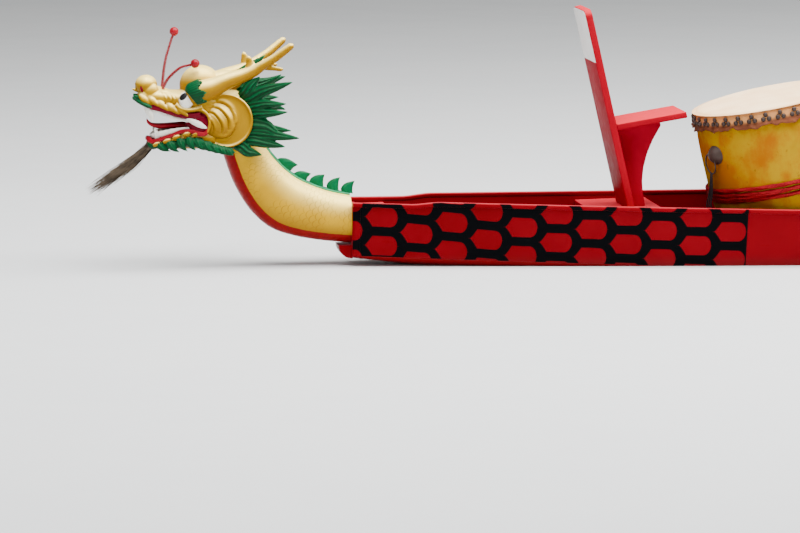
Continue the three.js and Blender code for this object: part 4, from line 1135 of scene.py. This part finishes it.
# The port horn and its tines: x, y and z of the middle, half width and half height
HORN_ROWS = [
    (663, 74, 691, 5, 6), (656, 75, 694, 19, 24), (645, 77, 698, 30, 38), (630, 79, 703, 37, 43),
    (604, 82, 711, 41, 46), (576, 84, 720, 41, 43), (545, 84, 732, 38, 38), (513, 84, 747, 35, 34),
    (476, 84, 761, 32, 31), (428, 85, 777, 28, 27), (387, 92, 796, 23, 23), (356, 104, 817, 18, 18.5),
    (313, 115, 844, 16.5, 17), (284, 124, 866, 15.5, 16), (260, 130, 885, 14, 14.5),
    (247, 133, 895, 12, 12), (240, 134, 900, 3, 3),
]
UPPER_TINE = [
    (400, 86, 781, 20, 34), (404, 87, 805, 14, 25), (409, 87, 827, 9, 16), (413, 88, 844, 7, 10),
    (415, 88, 853, 2, 3),
]
LOWER_TINE = [
    (362, 95, 815, 18, 18), (330, 97, 806, 12, 12), (304, 99, 801, 8.5, 9), (286, 100, 798, 7.5, 8),
    (276, 100, 797, 2, 2),
]

# The folds carved in the side of the head: the x and z of each path, its rise and its width
FOLDS = [
    ([(541, 666), (514, 662), (493, 645), (478, 617), (475, 585)], -5.5, 10),
    ([(556, 648), (534, 643), (513, 622), (498, 594), (500, 565)], -6.5, 9),
    ([(568, 629), (553, 622), (536, 601), (524, 576), (527, 550)], -6.0, 9),
    ([(574, 606), (563, 590), (556, 568), (560, 548)], -3.5, 7),
    ([(467, 582), (475, 559), (493, 537), (518, 527), (544, 526)], 6.5, 8),
    ([(744, 706), (738, 696), (734, 684), (738, 672)], 2.0, 5),
    ([(728, 706), (720, 694), (716, 680), (721, 666)], 2.4, 5),
    ([(712, 704), (704, 690), (702, 674), (708, 660)], 2.4, 5),
]

# Each lock of the mane: x and z of its root, bend and tip, its half width, and y of its tip
MANE_LOCKS = [
    (440, 690, 405, 735, 369, 770, 24, 95), (445, 666, 350, 716, 241, 749, 25, 118),
    (440, 640, 350, 662, 268, 664, 20, 130), (440, 612, 350, 626, 263, 632, 20, 136),
    (440, 576, 350, 572, 293, 541, 31, 124), (445, 545, 330, 540, 215, 526, 24, 134),
    (455, 520, 350, 508, 272, 492, 22, 122), (470, 505, 420, 474, 364, 459, 24, 104),
]

# The middle of each feeler's spring, from its foot to its tip
FEELERS = {
    "port": [(753, 16, 700), (745, 18, 725), (727, 27, 761), (682, 46, 804), (637, 58, 818)],
    "starboard": [(748, -16, 700), (746, -18, 740), (734, -22, 826), (712, -28, 900), (702, -30, 928)],
}


def at_bow(rows):
    """Rows counted from the bow end, in the boat's own frame."""
    r = np.asarray(rows, float).copy()
    r[:, 0] += HALF_LENGTH
    return r


def head_limb(rows, count=40, section=None, side=(0, 1, 0)):
    """A limb whose rows count from the bow end."""
    return limb(at_bow(rows), count, section, side)


def head_ball(centre, radii, count=40):
    """A ball whose centre counts from the bow end."""
    return ball(np.asarray(centre, float) + BOW, radii, count)


def on_cheek(shape):
    """A skin from the cheek's frame, whose Z points out of the port cheek, in its place."""
    points, faces, places = shape
    c, s = np.cos(CHEEK_TURN), np.sin(CHEEK_TURN)
    frame_rows = np.array([[c, -s, 0], [0, 0, 1], [s, c, 0]])
    return points @ frame_rows + (BOW + CHEEK), faces[:, ::-1], places[:, ::-1]


def cheek_plate():
    """The round plate behind the jaws: a dished disc with a thin raised rim."""
    profile = [(0, -1), (50, -2), (80, -4), (92, -4), (98, -2), (102, 1.5), (105, 1), (107, -4),
               (106, -16), (102, -26), (84, -32), (0, -34)]
    return on_cheek(lathed(smooth(profile, 60), 120))


def drops(tips, rows, count, around):
    """The same small body at each of the tips, from rows of x, y and z from the tip and half sizes."""
    rows = np.asarray(rows, float)
    return [head_limb(rows + [*tip, 0, 0], count, oval(around)) for tip in tips]


def flame_lobes():
    """Gold flame points that hang over the upper lip."""
    tips = [(806, 52, 664), (775, 61, 659), (740, 69, 643), (701, 78, 630), (664, 86, 621)]
    rows = [(34, -18, 34, 8, 10), (20, -5, 20, 8, 13), (6, 1, 8, 6, 9), (-6, 3, -2, 4, 5),
            (-16, 3, -9, 1, 1.2)]
    return drops(tips, rows, 28, 14)


def lip_lumps():
    """Gold lumps along the lower lip, each drawn out to a point aft."""
    tips = [(775, 48, 503), (736, 62, 517), (700, 72, 533), (660, 83, 545), (622, 91, 546)]
    rows = [(14, -3, -8, 6, 6), (4, 2, -1, 7, 9), (-8, 3, 3, 6, 8), (-18, 3, 7, 1.5, 2)]
    return drops(tips, rows, 18, 12)


def folds(place, normal):
    """Carved folds: along each path a groove, with a swelling on the side of it that the sign of its
    rise gives. They fade where the surface doesn't face sideways."""
    high = np.zeros(len(place))
    facing = ease((np.abs(normal[:, 1]) - 0.15) / 0.35)
    flat = place[:, [0, 2]]
    for path, rise, wide in FOLDS:
        low, top = np.min(path, 0) - 40, np.max(path, 0) + 40
        near = ((flat > low) & (flat < top)).all(1) & (facing > 0)
        gap, side, fade = beside(flat[near], path)
        away = np.sign(side) * gap
        groove = -1.1 * np.exp(-((away / (0.42 * wide)) ** 2))
        swell = np.exp(-(((away + np.sign(rise) * wide) / wide) ** 2))
        high[near] += abs(rise) * fade * facing[near] * (groove + swell)
    return high


def build_head_carving():
    """Skull, dome, snout, nose and cheeks, melted into one carving with folds cut into it."""
    snout = [
        (540, 0, 636, 88, 80), (600, 0, 662, 92, 56), (660, 0, 672, 84, 42), (712, 0, 678, 72, 36),
        (762, 0, 684, 62, 33), (806, 0, 690, 53, 32), (834, 0, 695, 42, 24), (846, 0, 698, 22, 12),
    ]
    middle = [
        head_ball((508, 0, 606), (122, 98, 118), count=48),
        head_ball((597, 0, 730), (83, 68, 81), count=48),
        head_ball((504, 0, 744), (76, 46, 46)),
        head_limb(snout, 60, oval(44, 0.8)),
        head_ball((813, 0, 735), (44, 47, 40)),
        head_ball((772, 0, 703), (38, 37, 27)),
        head_limb([(842, 0, 712, 12, 8), (860, 0, 717, 8, 6), (870, 0, 720, 2, 2)], 16),
    ]
    side = flame_lobes() + [
        cheek_plate(),
        on_cheek(ball((24, -3, -15), (76, 74, 36), count=56)),
        head_ball((796, 26, 706), (33, 27, 40), count=32),
        head_ball((742, 34, 700), (30, 22, 18), count=24),
        head_limb([(700, 72, 662, 8, 9), (686, 80, 648, 8, 8), (656, 89, 640, 8, 8),
                   (622, 95, 644, 8, 8), (600, 97, 652, 5, 6)], 30, oval(16)),
        head_limb([(630, 90, 640, 4, 5), (600, 97, 640, 5, 6), (578, 101, 620, 5, 6),
                   (571, 103, 592, 5, 6), (575, 102, 562, 5, 6), (590, 99, 540, 4, 5)], 40, oval(14)),
    ]
    head = new_object("head_carved", middle + both_sides(side))
    fused(head, 2.5, 3)
    carved(head, folds)
    placed(head, gold_paint, ("head_carving",), crease=60)


def band(rows, count=60):
    """A rounded band along a path of x, y, z, half thickness across the side and half height."""
    return head_limb(rows, count, oval(16, 0.8))


def build_lips():
    """The upper lip with the dark web of the mouth's corner, and the lower lip."""
    upper = [(819, 26, 662, 8, 9), (806, 46, 655, 9, 12), (767, 57, 648, 9, 14), (722, 67, 634, 9, 14),
             (677, 77, 620, 9, 13), (640, 86, 618, 9, 12), (606, 92, 624, 8, 9)]
    web = [(566, 0, 584, 86, 24), (576, 0, 584, 97, 38), (598, 0, 584, 99, 50), (622, 0, 586, 96, 49),
           (646, 0, 586, 84, 34), (662, 0, 586, 60, 16)]
    lower = [(809, 4, 520, 8, 10), (805, 22, 520, 10, 11), (792, 37, 512, 10, 9), (753, 54, 525, 9, 8),
             (712, 66, 541, 9, 8), (677, 76, 555, 9, 8), (640, 85, 556, 9, 9), (610, 93, 546, 10, 10),
             (588, 97, 548, 9, 9), (576, 98, 566, 6, 7), (574, 98, 584, 3, 3)]
    shapes = both_sides([band(upper)]) + [head_limb(web, 40, oval(48, 0.5))]
    # The upper lip takes the mouth's dark red as painted shade: its inner face in shadow, darker than the
    # lower lip
    piece("upper_lip", shapes, mouth_red, melt=2.6)
    piece("lower_lip", both_sides([band(lower)]), lip_red, melt=2.2)


def build_mouth():
    """The roof and the bed of the mouth, the jaw and the tongue, whose middle is hollowed."""
    roof = [(600, 0, 628, 78, 12), (680, 0, 638, 66, 10), (750, 0, 652, 54, 10), (812, 0, 664, 36, 8)]
    bed = [(600, 0, 552, 76, 8), (670, 0, 547, 62, 8), (713, 0, 539, 54, 8), (753, 0, 528, 42, 8),
           (790, 0, 517, 28, 6), (806, 0, 514, 15, 5)]
    lining = [head_limb(rows, 30, oval(24, 0.7)) for rows in (roof, bed)]
    piece("mouth_lining", lining, mouth_red)
    jaw = [(548, 0, 520, 88, 38), (600, 0, 518, 84, 38), (632, 0, 517, 80, 38), (677, 0, 514, 71, 35),
           (713, 0, 508, 62, 29), (753, 0, 502, 50, 21), (786, 0, 501, 35, 14), (804, 0, 509, 20, 9)]
    shapes = [head_limb(jaw, 50, oval(36, 0.7))] + both_sides(lip_lumps())
    piece("jaw_carved", shapes, gold_paint, ("lower_jaw",), melt=2.6, relax=1)
    tongue = [(566, 0, 566, 44, 13), (640, 0, 574, 40, 13), (710, 0, 572, 34, 12), (760, 0, 571, 27, 11),
              (792, 0, 577, 18, 8), (806, 0, 588, 9, 6), (811, 0, 600, 2, 1.5)]
    section = oval(28, 0.9)
    section[:, 1] -= 0.55 * np.exp(-((section[:, 0] / 0.3) ** 2)) * (section[:, 1] > 0)
    piece("tongue_carved", [head_limb(tongue, 60, section)], lip_red, ("tongue",))


def gum(rows, teeth, swell):
    """A row of worn teeth: a band whose height swells at each tooth."""
    r = smooth(at_bow(rows), 160)
    run = np.linspace(0, teeth * np.pi, len(r))
    high = r[:, 4] * (1 + swell * (np.abs(np.sin(run)) - 0.6))
    return skin(capped(carried(r[:, :3], r[:, 3], high, oval(16, 0.8))))


def build_teeth():
    """Two rows of worn teeth, an upper tusk with a fang behind it, and a lower tusk."""
    upper_row = [(818, 2, 655, 5, 7), (812, 26, 652, 5, 7), (796, 42, 642, 5, 7), (753, 53, 624, 5, 7),
                 (708, 63, 607, 5, 7), (660, 73, 599, 5, 7), (640, 78, 597, 4, 6)]
    upper_tusk = [(814, 38, 654, 7, 9), (808, 46, 640, 8, 13), (799, 50, 620, 7, 12),
                  (794, 51, 604, 5, 7), (791, 51, 592, 1, 1.5)]
    fang = [(660, 82, 604, 6, 6), (640, 92, 597, 8, 10), (614, 98, 585, 9, 12), (592, 100, 574, 6, 7),
            (581, 100, 569, 1, 1.5)]
    lower_row = [(795, 2, 531, 5, 9), (786, 26, 535, 5, 11), (766, 42, 541, 6, 12),
                 (745, 48, 546, 6, 12), (712, 58, 555, 6, 10), (681, 67, 564, 5, 6),
                 (649, 74, 567, 4, 4), (608, 80, 560, 3, 3)]
    lower_tusk = [(770, 36, 528, 7, 14), (776, 37, 545, 7, 10), (781, 37, 558, 5, 5), (783, 37, 567, 1, 1)]
    lean = (0.2, 1, 0)
    upper = [gum(upper_row, 9, 0.2), head_limb(upper_tusk, 30, side=lean), head_limb(fang, 30)]
    lower = [gum(lower_row, 10, 0.16), head_limb(lower_tusk, 24, side=lean)]
    for name, shapes in (("upper_teeth", upper), ("lower_teeth", lower)):
        piece(f"{name}_carved", both_sides(shapes), tooth_white, (name,))


def brow_cap():
    """The green brow over the horn's root: the horn's own skin, lifted and combed into grooves that
    run aft. Its front edge slants back from top to bottom, and it ends in ragged points."""
    rows, across = 44, 121
    turn = np.linspace(np.radians(-58), np.radians(112), across)
    r = smooth(at_bow(HORN_ROWS), 400)
    from_end = r[:, 0] - HALF_LENGTH
    front = 643 + 15 * np.sin(turn)
    points = 1 - np.abs(((turn * 1.9 + 0.1) % 2) - 1)
    back = 582 + 28 * points**0.8 + 4 * np.cos(31 * turn)
    groove = 0.04 * np.abs(np.sin(turn * 15)) + 0.01 * np.cos(turn * 47)
    section = np.stack([np.cos(turn) * (1.06 + groove), np.sin(turn) * (1.06 + groove)], -1)
    full = carried(r[:, :3], r[:, 3] + 2, r[:, 4] + 2, section)
    x = front[None] + (back - front)[None] * np.linspace(0, 1, rows)[:, None]
    t = np.interp(-x, -from_end, np.arange(len(r)))
    low = np.minimum(t.astype(int), len(r) - 2)
    f = (t - low)[..., None]
    column = np.arange(across)[None]
    outer = full[low, column] * (1 - f) + full[low + 1, column] * f
    middle = r[:, :3][low] * (1 - f) + r[:, :3][low + 1] * f
    inner = middle + (outer - middle) * 0.84
    loop = np.concatenate([outer, inner[:, ::-1]], 1)
    return skin(capped(loop))


def build_horns():
    horn = [head_limb(HORN_ROWS, 120, oval(36)), head_limb(UPPER_TINE, 24), head_limb(LOWER_TINE, 24)]
    brow = [brow_cap()]
    eye_finish = eye_paint()
    for side, way in (("port", 1), ("starboard", -1)):
        node = f"horn_{side}"
        piece(f"{node}_carved", on_side(side, horn), gold_paint, (node,), melt=2.8, relax=3)
        piece(f"brow_{side}", on_side(side, brow), green_paint, melt=1.8, relax=1)
        eye = head_ball((660, 78 * way, 680), (30, 24, 35))
        piece(f"eye_{side}_round", [eye], eye_finish, (f"eye_{side}",))


def lock(row):
    """A lock of the mane: a broad combed blade that sweeps back from behind the cheek."""
    rx, rz, bx, bz, tx, tz, wide, y = row
    rows = [
        (rx - 4, 72, rz, 15, wide), ((rx + bx) / 2 - 4, 90, (rz + bz) / 2 + 3, 17, wide * 1.1),
        (bx, (y + 92) / 2, bz, 14, wide * 0.95), ((tx + bx) / 2, y - 2, (tz + bz) / 2, 9, wide * 0.6),
        (tx + (bx - tx) * 0.16, y, tz + (bz - tz) * 0.16, 5, wide * 0.26), (tx, y, tz, 1, 1.5),
    ]
    return head_limb(rows, 60, grooved(64, 3, 0.24))


def build_mane():
    locks = [lock(row) for row in MANE_LOCKS]
    top = [
        [(486, 0, 724, 22, 26), (420, 0, 776, 17, 28), (372, 0, 817, 9, 15), (338, 0, 846, 1.5, 2)],
        [(476, 0, 694, 22, 32), (390, 0, 720, 17, 32), (320, 0, 744, 9, 15), (272, 0, 768, 1.5, 2)],
        [(468, 0, 640, 22, 42), (380, 0, 644, 17, 38), (310, 0, 642, 9, 18), (256, 0, 628, 1.5, 2)],
    ]
    blades = [head_limb(rows, 50, grooved(64, 4, 0.26)) for rows in top]
    parts = {"port": locks, "starboard": on_side("starboard", locks), "top": blades}
    for part, shapes in parts.items():
        node = f"mane_{part}"
        piece(f"{node}_carved", shapes, green_paint, (node,), melt=2.6, relax=1)


def spring(points, coil, wire, pitch):
    """A feeler's spring: a helix round a path, of the coil's radius at its foot and less at its tip."""
    rows = smooth(points, 240)
    run = run_along(rows)
    count = int(run[-1] / pitch * 14)
    even = np.linspace(0, run[-1], count)
    path = np.stack([np.interp(even, run, rows[:, k]) for k in range(3)], -1) + BOW
    across, over = directions(path)
    turn = even / pitch * 2 * np.pi
    reach = coil * np.linspace(1, 0.65, count)[:, None]
    helix = path + reach * (across * np.cos(turn)[:, None] + over * np.sin(turn)[:, None])
    return bar(helix, wire, 6, side=(0.3, 1, 0.2))


def build_feelers():
    for side, path in FEELERS.items():
        a, b = np.array(path[-2], float), np.array(path[-1], float)
        tip = b + unit(b - a) * 15
        core = head_limb([(*p, 2.6, 2.6) for p in path], 60, oval(8))
        shapes = [core, spring(path, 5.2, 2.1, 5.4), head_ball(tip, (18, 18, 18), count=32)]
        piece(f"feeler_{side}_sprung", shapes, feeler_red, (f"feeler_{side}",))


def leaf(root, tip, wide, thick, curl):
    """A carved leaf: a grooved blade from its root to its tip, bent by curl."""
    root, tip, curl = (np.asarray(p, float) for p in (root, tip, curl))
    t = np.linspace(0, 1, 5)
    size = wide * np.array([0.7, 1.0, 0.86, 0.5, 0.05])
    depth = thick * np.array([1, 1, 0.8, 0.5, 0.1])
    path = root + (tip - root) * t[:, None] + curl * np.sin(np.pi * t)[:, None]
    rows = [(*p, d, s) for p, d, s in zip(path, depth, size)]
    return head_limb(rows, 22, grooved(24, 3, 0.25))


def build_frill():
    """Leaves along both edges of the jaw, in pairs on a root, and a band under the chin."""
    top = smooth([(797, 34, 508), (754, 56, 508), (700, 74, 522), (650, 86, 530), (610, 92, 526),
                  (568, 96, 508), (530, 98, 496), (500, 98, 488)], 10)
    low = smooth([(776, 34, 490), (732, 62, 474), (690, 82, 477), (650, 94, 482), (606, 101, 482),
                  (566, 105, 474), (530, 107, 467), (496, 107, 463)], 10)
    shapes = []
    for a, b in zip(top, low):
        shapes.append(leaf(a + [8, -6, 0], b + [-20, 3, -2], 15, 9, (6, 5, -3)))
        shapes.append(leaf(a + [-8, -7, -2], (a + b) / 2 + [-30, 2, -6], 12, 9, (5, 4, -2)))
    root = [(792, 30, 496, 8, 9), (700, 62, 504, 10, 14), (620, 82, 506, 10, 15), (540, 90, 490, 10, 13),
            (492, 92, 478, 9, 10)]
    chin = [(782, -34, 490, 9, 9), (788, 0, 486, 10, 10), (782, 34, 490, 9, 9)]
    shapes = both_sides(shapes + [band(root, 40)]) + [head_limb(chin, 20, oval(12), side=(1, 0, 0))]
    piece("frill_carved", shapes, green_paint, ("jaw_frill",), melt=2.5, relax=1)


def build_moustache():
    """A combed roll round the snout over the lip, with a lobe that stands up beside each nostril."""
    half = [(796, 62, 650, 2, 2), (808, 58, 656, 7, 8), (824, 48, 664, 9, 11), (842, 34, 674, 9, 12),
            (853, 16, 682, 9, 12)]
    rows = [*half, (857, 0, 684, 9, 12), *((x, -y, z, w, h) for x, y, z, w, h in reversed(half))]
    lobe = [(843, 30, 688, 6, 8), (855, 34, 691, 6, 8), (860, 38, 697, 2, 2)]
    shapes = [head_limb(rows, 90, grooved(28, 3, 0.25), side=(0.5, 0.2, 1))]
    shapes += both_sides([head_limb(lobe, 16, oval(12))])
    piece("moustache_carved", shapes, green_paint, ("moustache",), melt=1.8, relax=1)


def build_beard():
    """Two tufts of coarse hair that the wind carries forward from the chin: thin three-sided strands
    along a curve each, bound at the root and spread more towards their ends."""
    rng = np.random.default_rng(7)
    count, steps = 460, 16
    tuft = rng.integers(0, 2, count)[:, None]
    path = smooth([(790, 500), (822, 470), (872, 428), (944, 380), (1008, 336), (1052, 304)], steps)
    t = np.linspace(0, 1, steps)
    reach = rng.uniform(0.5, 1.0, count) * np.where(tuft[:, 0] == 0, 1.0, 0.86)
    place = t[None] * reach[:, None] * (steps - 1)
    low = np.minimum(place.astype(int), steps - 2)
    f = (place - low)[..., None]
    line = path[low] * (1 - f) + path[low + 1] * f
    spread = rng.normal(0, 1, (count, 1, 2)) * (4.5 + 7 * t[None, :, None] ** 0.9)
    drift = rng.uniform(0, 6, (count, 1, 1))
    wave = rng.normal(0, 1, (count, 1, 2)) * 5 * np.sin(3 * t[None, :, None] + drift)
    away = np.clip(spread + wave, -24, 24)
    y = away[..., 0] * 0.7 + np.where(tuft == 0, 9, -10) * t[None]
    z = line[..., 1] + away[..., 1] * 0.8 + np.where(tuft == 0, 3, -15) * t[None] ** 1.6
    x = line[..., 0] + away[..., 1] * 0.45
    strands = np.stack([x + HALF_LENGTH, y, z], -1)
    size = (1.5 * (1 - t) ** 0.7 + 0.25)[None, :, None, None]
    turn = np.radians([90, 210, 330])
    ring = np.stack([0 * turn, np.cos(turn), np.sin(turn)], -1)[None, None] * size
    points = strands[:, :, None] + ring
    shapes = [skin(capped(strand)) for strand in points]
    knot = [(780, 0, 508, 10, 10), (794, 0, 496, 15, 14), (812, 0, 476, 13, 13), (828, 0, 460, 5, 5)]
    piece("beard_strands", shapes + [head_limb(knot, 20)], beard_hair(), ("beard",))


def build_nostrils():
    """Almond hollows on the nose, painted dark red."""
    place = (834, 38, 721)
    hollow = moved(head_ball(place, (5, 6, 14), count=20), tilt=0.2, pivot=BOW + place)
    piece("nostrils", both_sides([hollow]), mouth_red)


# The steering oar

# Where the oar's length crosses the ring's pins, its turn outboard and its slope
PIVOT = (-5250.0, 350.0, 360.0)
SPLAY = np.radians(-12)
SLOPE = np.radians(-17)

# The shaft's radius along X from the pivot, with a collar on each side of the ring
SHAFT_ROWS = [
    (-1220, 22), (-51.8, 22), (-51.7, 30), (-50, 31), (-17, 31), (-15.8, 30), (-15.7, 22), (15.7, 22),
    (15.8, 30), (17, 31), (50, 31), (51.7, 30), (51.8, 22), (880, 22), (884, 21), (888, 12),
]

# The blade's half thickness and half height along X from the pivot
BLADE_ROWS = [
    (-1220.3, 20, 22), (-1300, 18, 36), (-1420, 14, 66), (-1560, 11, 90), (-1720, 8, 102),
    (-1880, 6, 105), (-1960, 4.5, 98), (-1980.3, 3.5, 84),
]


def on_oar(shape):
    """A skin in the oar's own frame, its length along X, put in its place at the stern."""
    return moved(shape, by=PIVOT, tilt=SLOPE, turn=SPLAY)


def turned_shaft():
    """The shaft: each length between two rows is divided in three."""
    r = np.asarray(SHAFT_ROWS, float)
    lengths = [np.linspace(a, b, 3, endpoint=False) for a, b in zip(r[:-1, 0], r[1:, 0])]
    x = np.append(np.concatenate(lengths), r[-1, 0])
    return bar(np.stack([x, 0 * x, 0 * x], -1), np.interp(x, r[:, 0], r[:, 1]), 32)


def shaped_blade():
    """The blade: a flat section along a straight line, thin at its end."""
    x, thick, high = smooth(BLADE_ROWS, 60).T
    path = np.stack([x, 0 * x, 0 * x], -1)
    return skin(capped(carried(path, thick, high, oval(40, 0.85))))


def build_oar():
    steel = brushed_steel()
    wood = bare_wood("oar_wood", (0.5, 0.3, 0.13), (0.3, 0.155, 0.06))
    eased("oarlock_fork", steel, 1.0, "oarlock")
    eased("oarlock_ring", steel, 1.0, "ring")
    piece("oar_shaft_turned", [on_oar(turned_shaft())], wood, ("oar_shaft",), "oar")
    piece("oar_blade_shaped", [on_oar(shaped_blade())], wood, ("oar_blade",), "oar")


# The view


def floor_round_hull():
    """The floor at the waterline, open inside the planks: rings that go from the hull's outline there
    to a circle of 85 m. The outline lies on the sides where the chine is under water, or else on the
    bottom, whose height rises with the cube of the distance from the keel."""
    x = np.linspace(0, 5550, 120)
    depth, corner = -keel(x), -chine(x)
    on_sides = CHINE_SHARE + (1 - CHINE_SHARE) * np.clip(corner / (sheer(x) + corner), 0, 1)
    on_bottom = CHINE_SHARE * np.cbrt(np.clip(depth / (depth - corner), 0, 1))
    y = np.maximum(beam(x) * np.where(corner > 0, on_sides, on_bottom) - PLANK / 2, 0)
    x, y = np.concatenate([x[::-1], -x[1:]]), np.concatenate([y[::-1], y[1:]])
    line = np.concatenate([np.stack([x, y], -1), np.stack([x, -y], -1)[-2:0:-1]])
    far = 85000 * unit(line)
    rows = [line + (far - line) * t for t in (0, 0.003, 0.02, 0.1, 0.4, 1)]
    return skin(np.array([np.concatenate([row, 0 * row[:, :1]], 1) for row in rows]))


def add_camera():
    """The camera that the boat is seen from."""
    camera = bpy.data.objects.new("camera", bpy.data.cameras.new("camera"))
    camera.data.lens = FOCAL_LENGTH
    camera.data.sensor_width = 36
    camera.data.clip_end = 200
    camera.location = CAMERA_AT
    c, s = np.cos(CAMERA_DROP), np.sin(CAMERA_DROP)
    look = Vector((-np.sin(CAMERA_TURN) * c, -np.cos(CAMERA_TURN) * c, -s))
    camera.rotation_euler = look.to_track_quat("-Z", "Y").to_euler()
    bpy.context.collection.objects.link(camera)
    bpy.context.scene.camera = camera


def add_sky():
    """An even pale sky."""
    world = bpy.data.worlds.new("sky")
    world.use_nodes = True
    background = world.node_tree.nodes["Background"]
    background.inputs["Color"].default_value = (0.95, 0.96, 0.96, 1)
    background.inputs["Strength"].default_value = 0.38
    bpy.context.scene.world = world


def add_lamp(name, place, aim, size, power):
    """A soft rectangular lamp at a place in metres, turned to its aim."""
    lamp = bpy.data.objects.new(name, bpy.data.lights.new(name, "AREA"))
    lamp.data.shape = "RECTANGLE"
    lamp.data.size, lamp.data.size_y = size
    lamp.data.energy = power
    lamp.location = place
    lamp.rotation_euler = (Vector(aim) - Vector(place)).to_track_quat("-Z", "Y").to_euler()
    bpy.context.collection.objects.link(lamp)


def set_view():
    """The camera, soft light from above and from the bow, and a pale floor at the water."""
    add_camera()
    add_sky()
    add_lamp("high_light", (0, 1.6, 8.0), (0, 0, 0), (17.0, 7.0), 5400)
    add_lamp("bow_light", (11.0, 8.0, 6.0), (5.8, 0, 0.4), (3.0, 3.0), 240)
    floor = new_object("floor", [floor_round_hull()])
    floor.data.materials.append(pale_floor())


set_view()
build_hull()
build_drummer_seat()
build_drum()
build_neck()
build_tail()
build_head_carving()
build_lips()
build_mouth()
build_teeth()
build_horns()
build_mane()
build_feelers()
build_frill()
build_moustache()
build_beard()
build_nostrils()
build_oar()
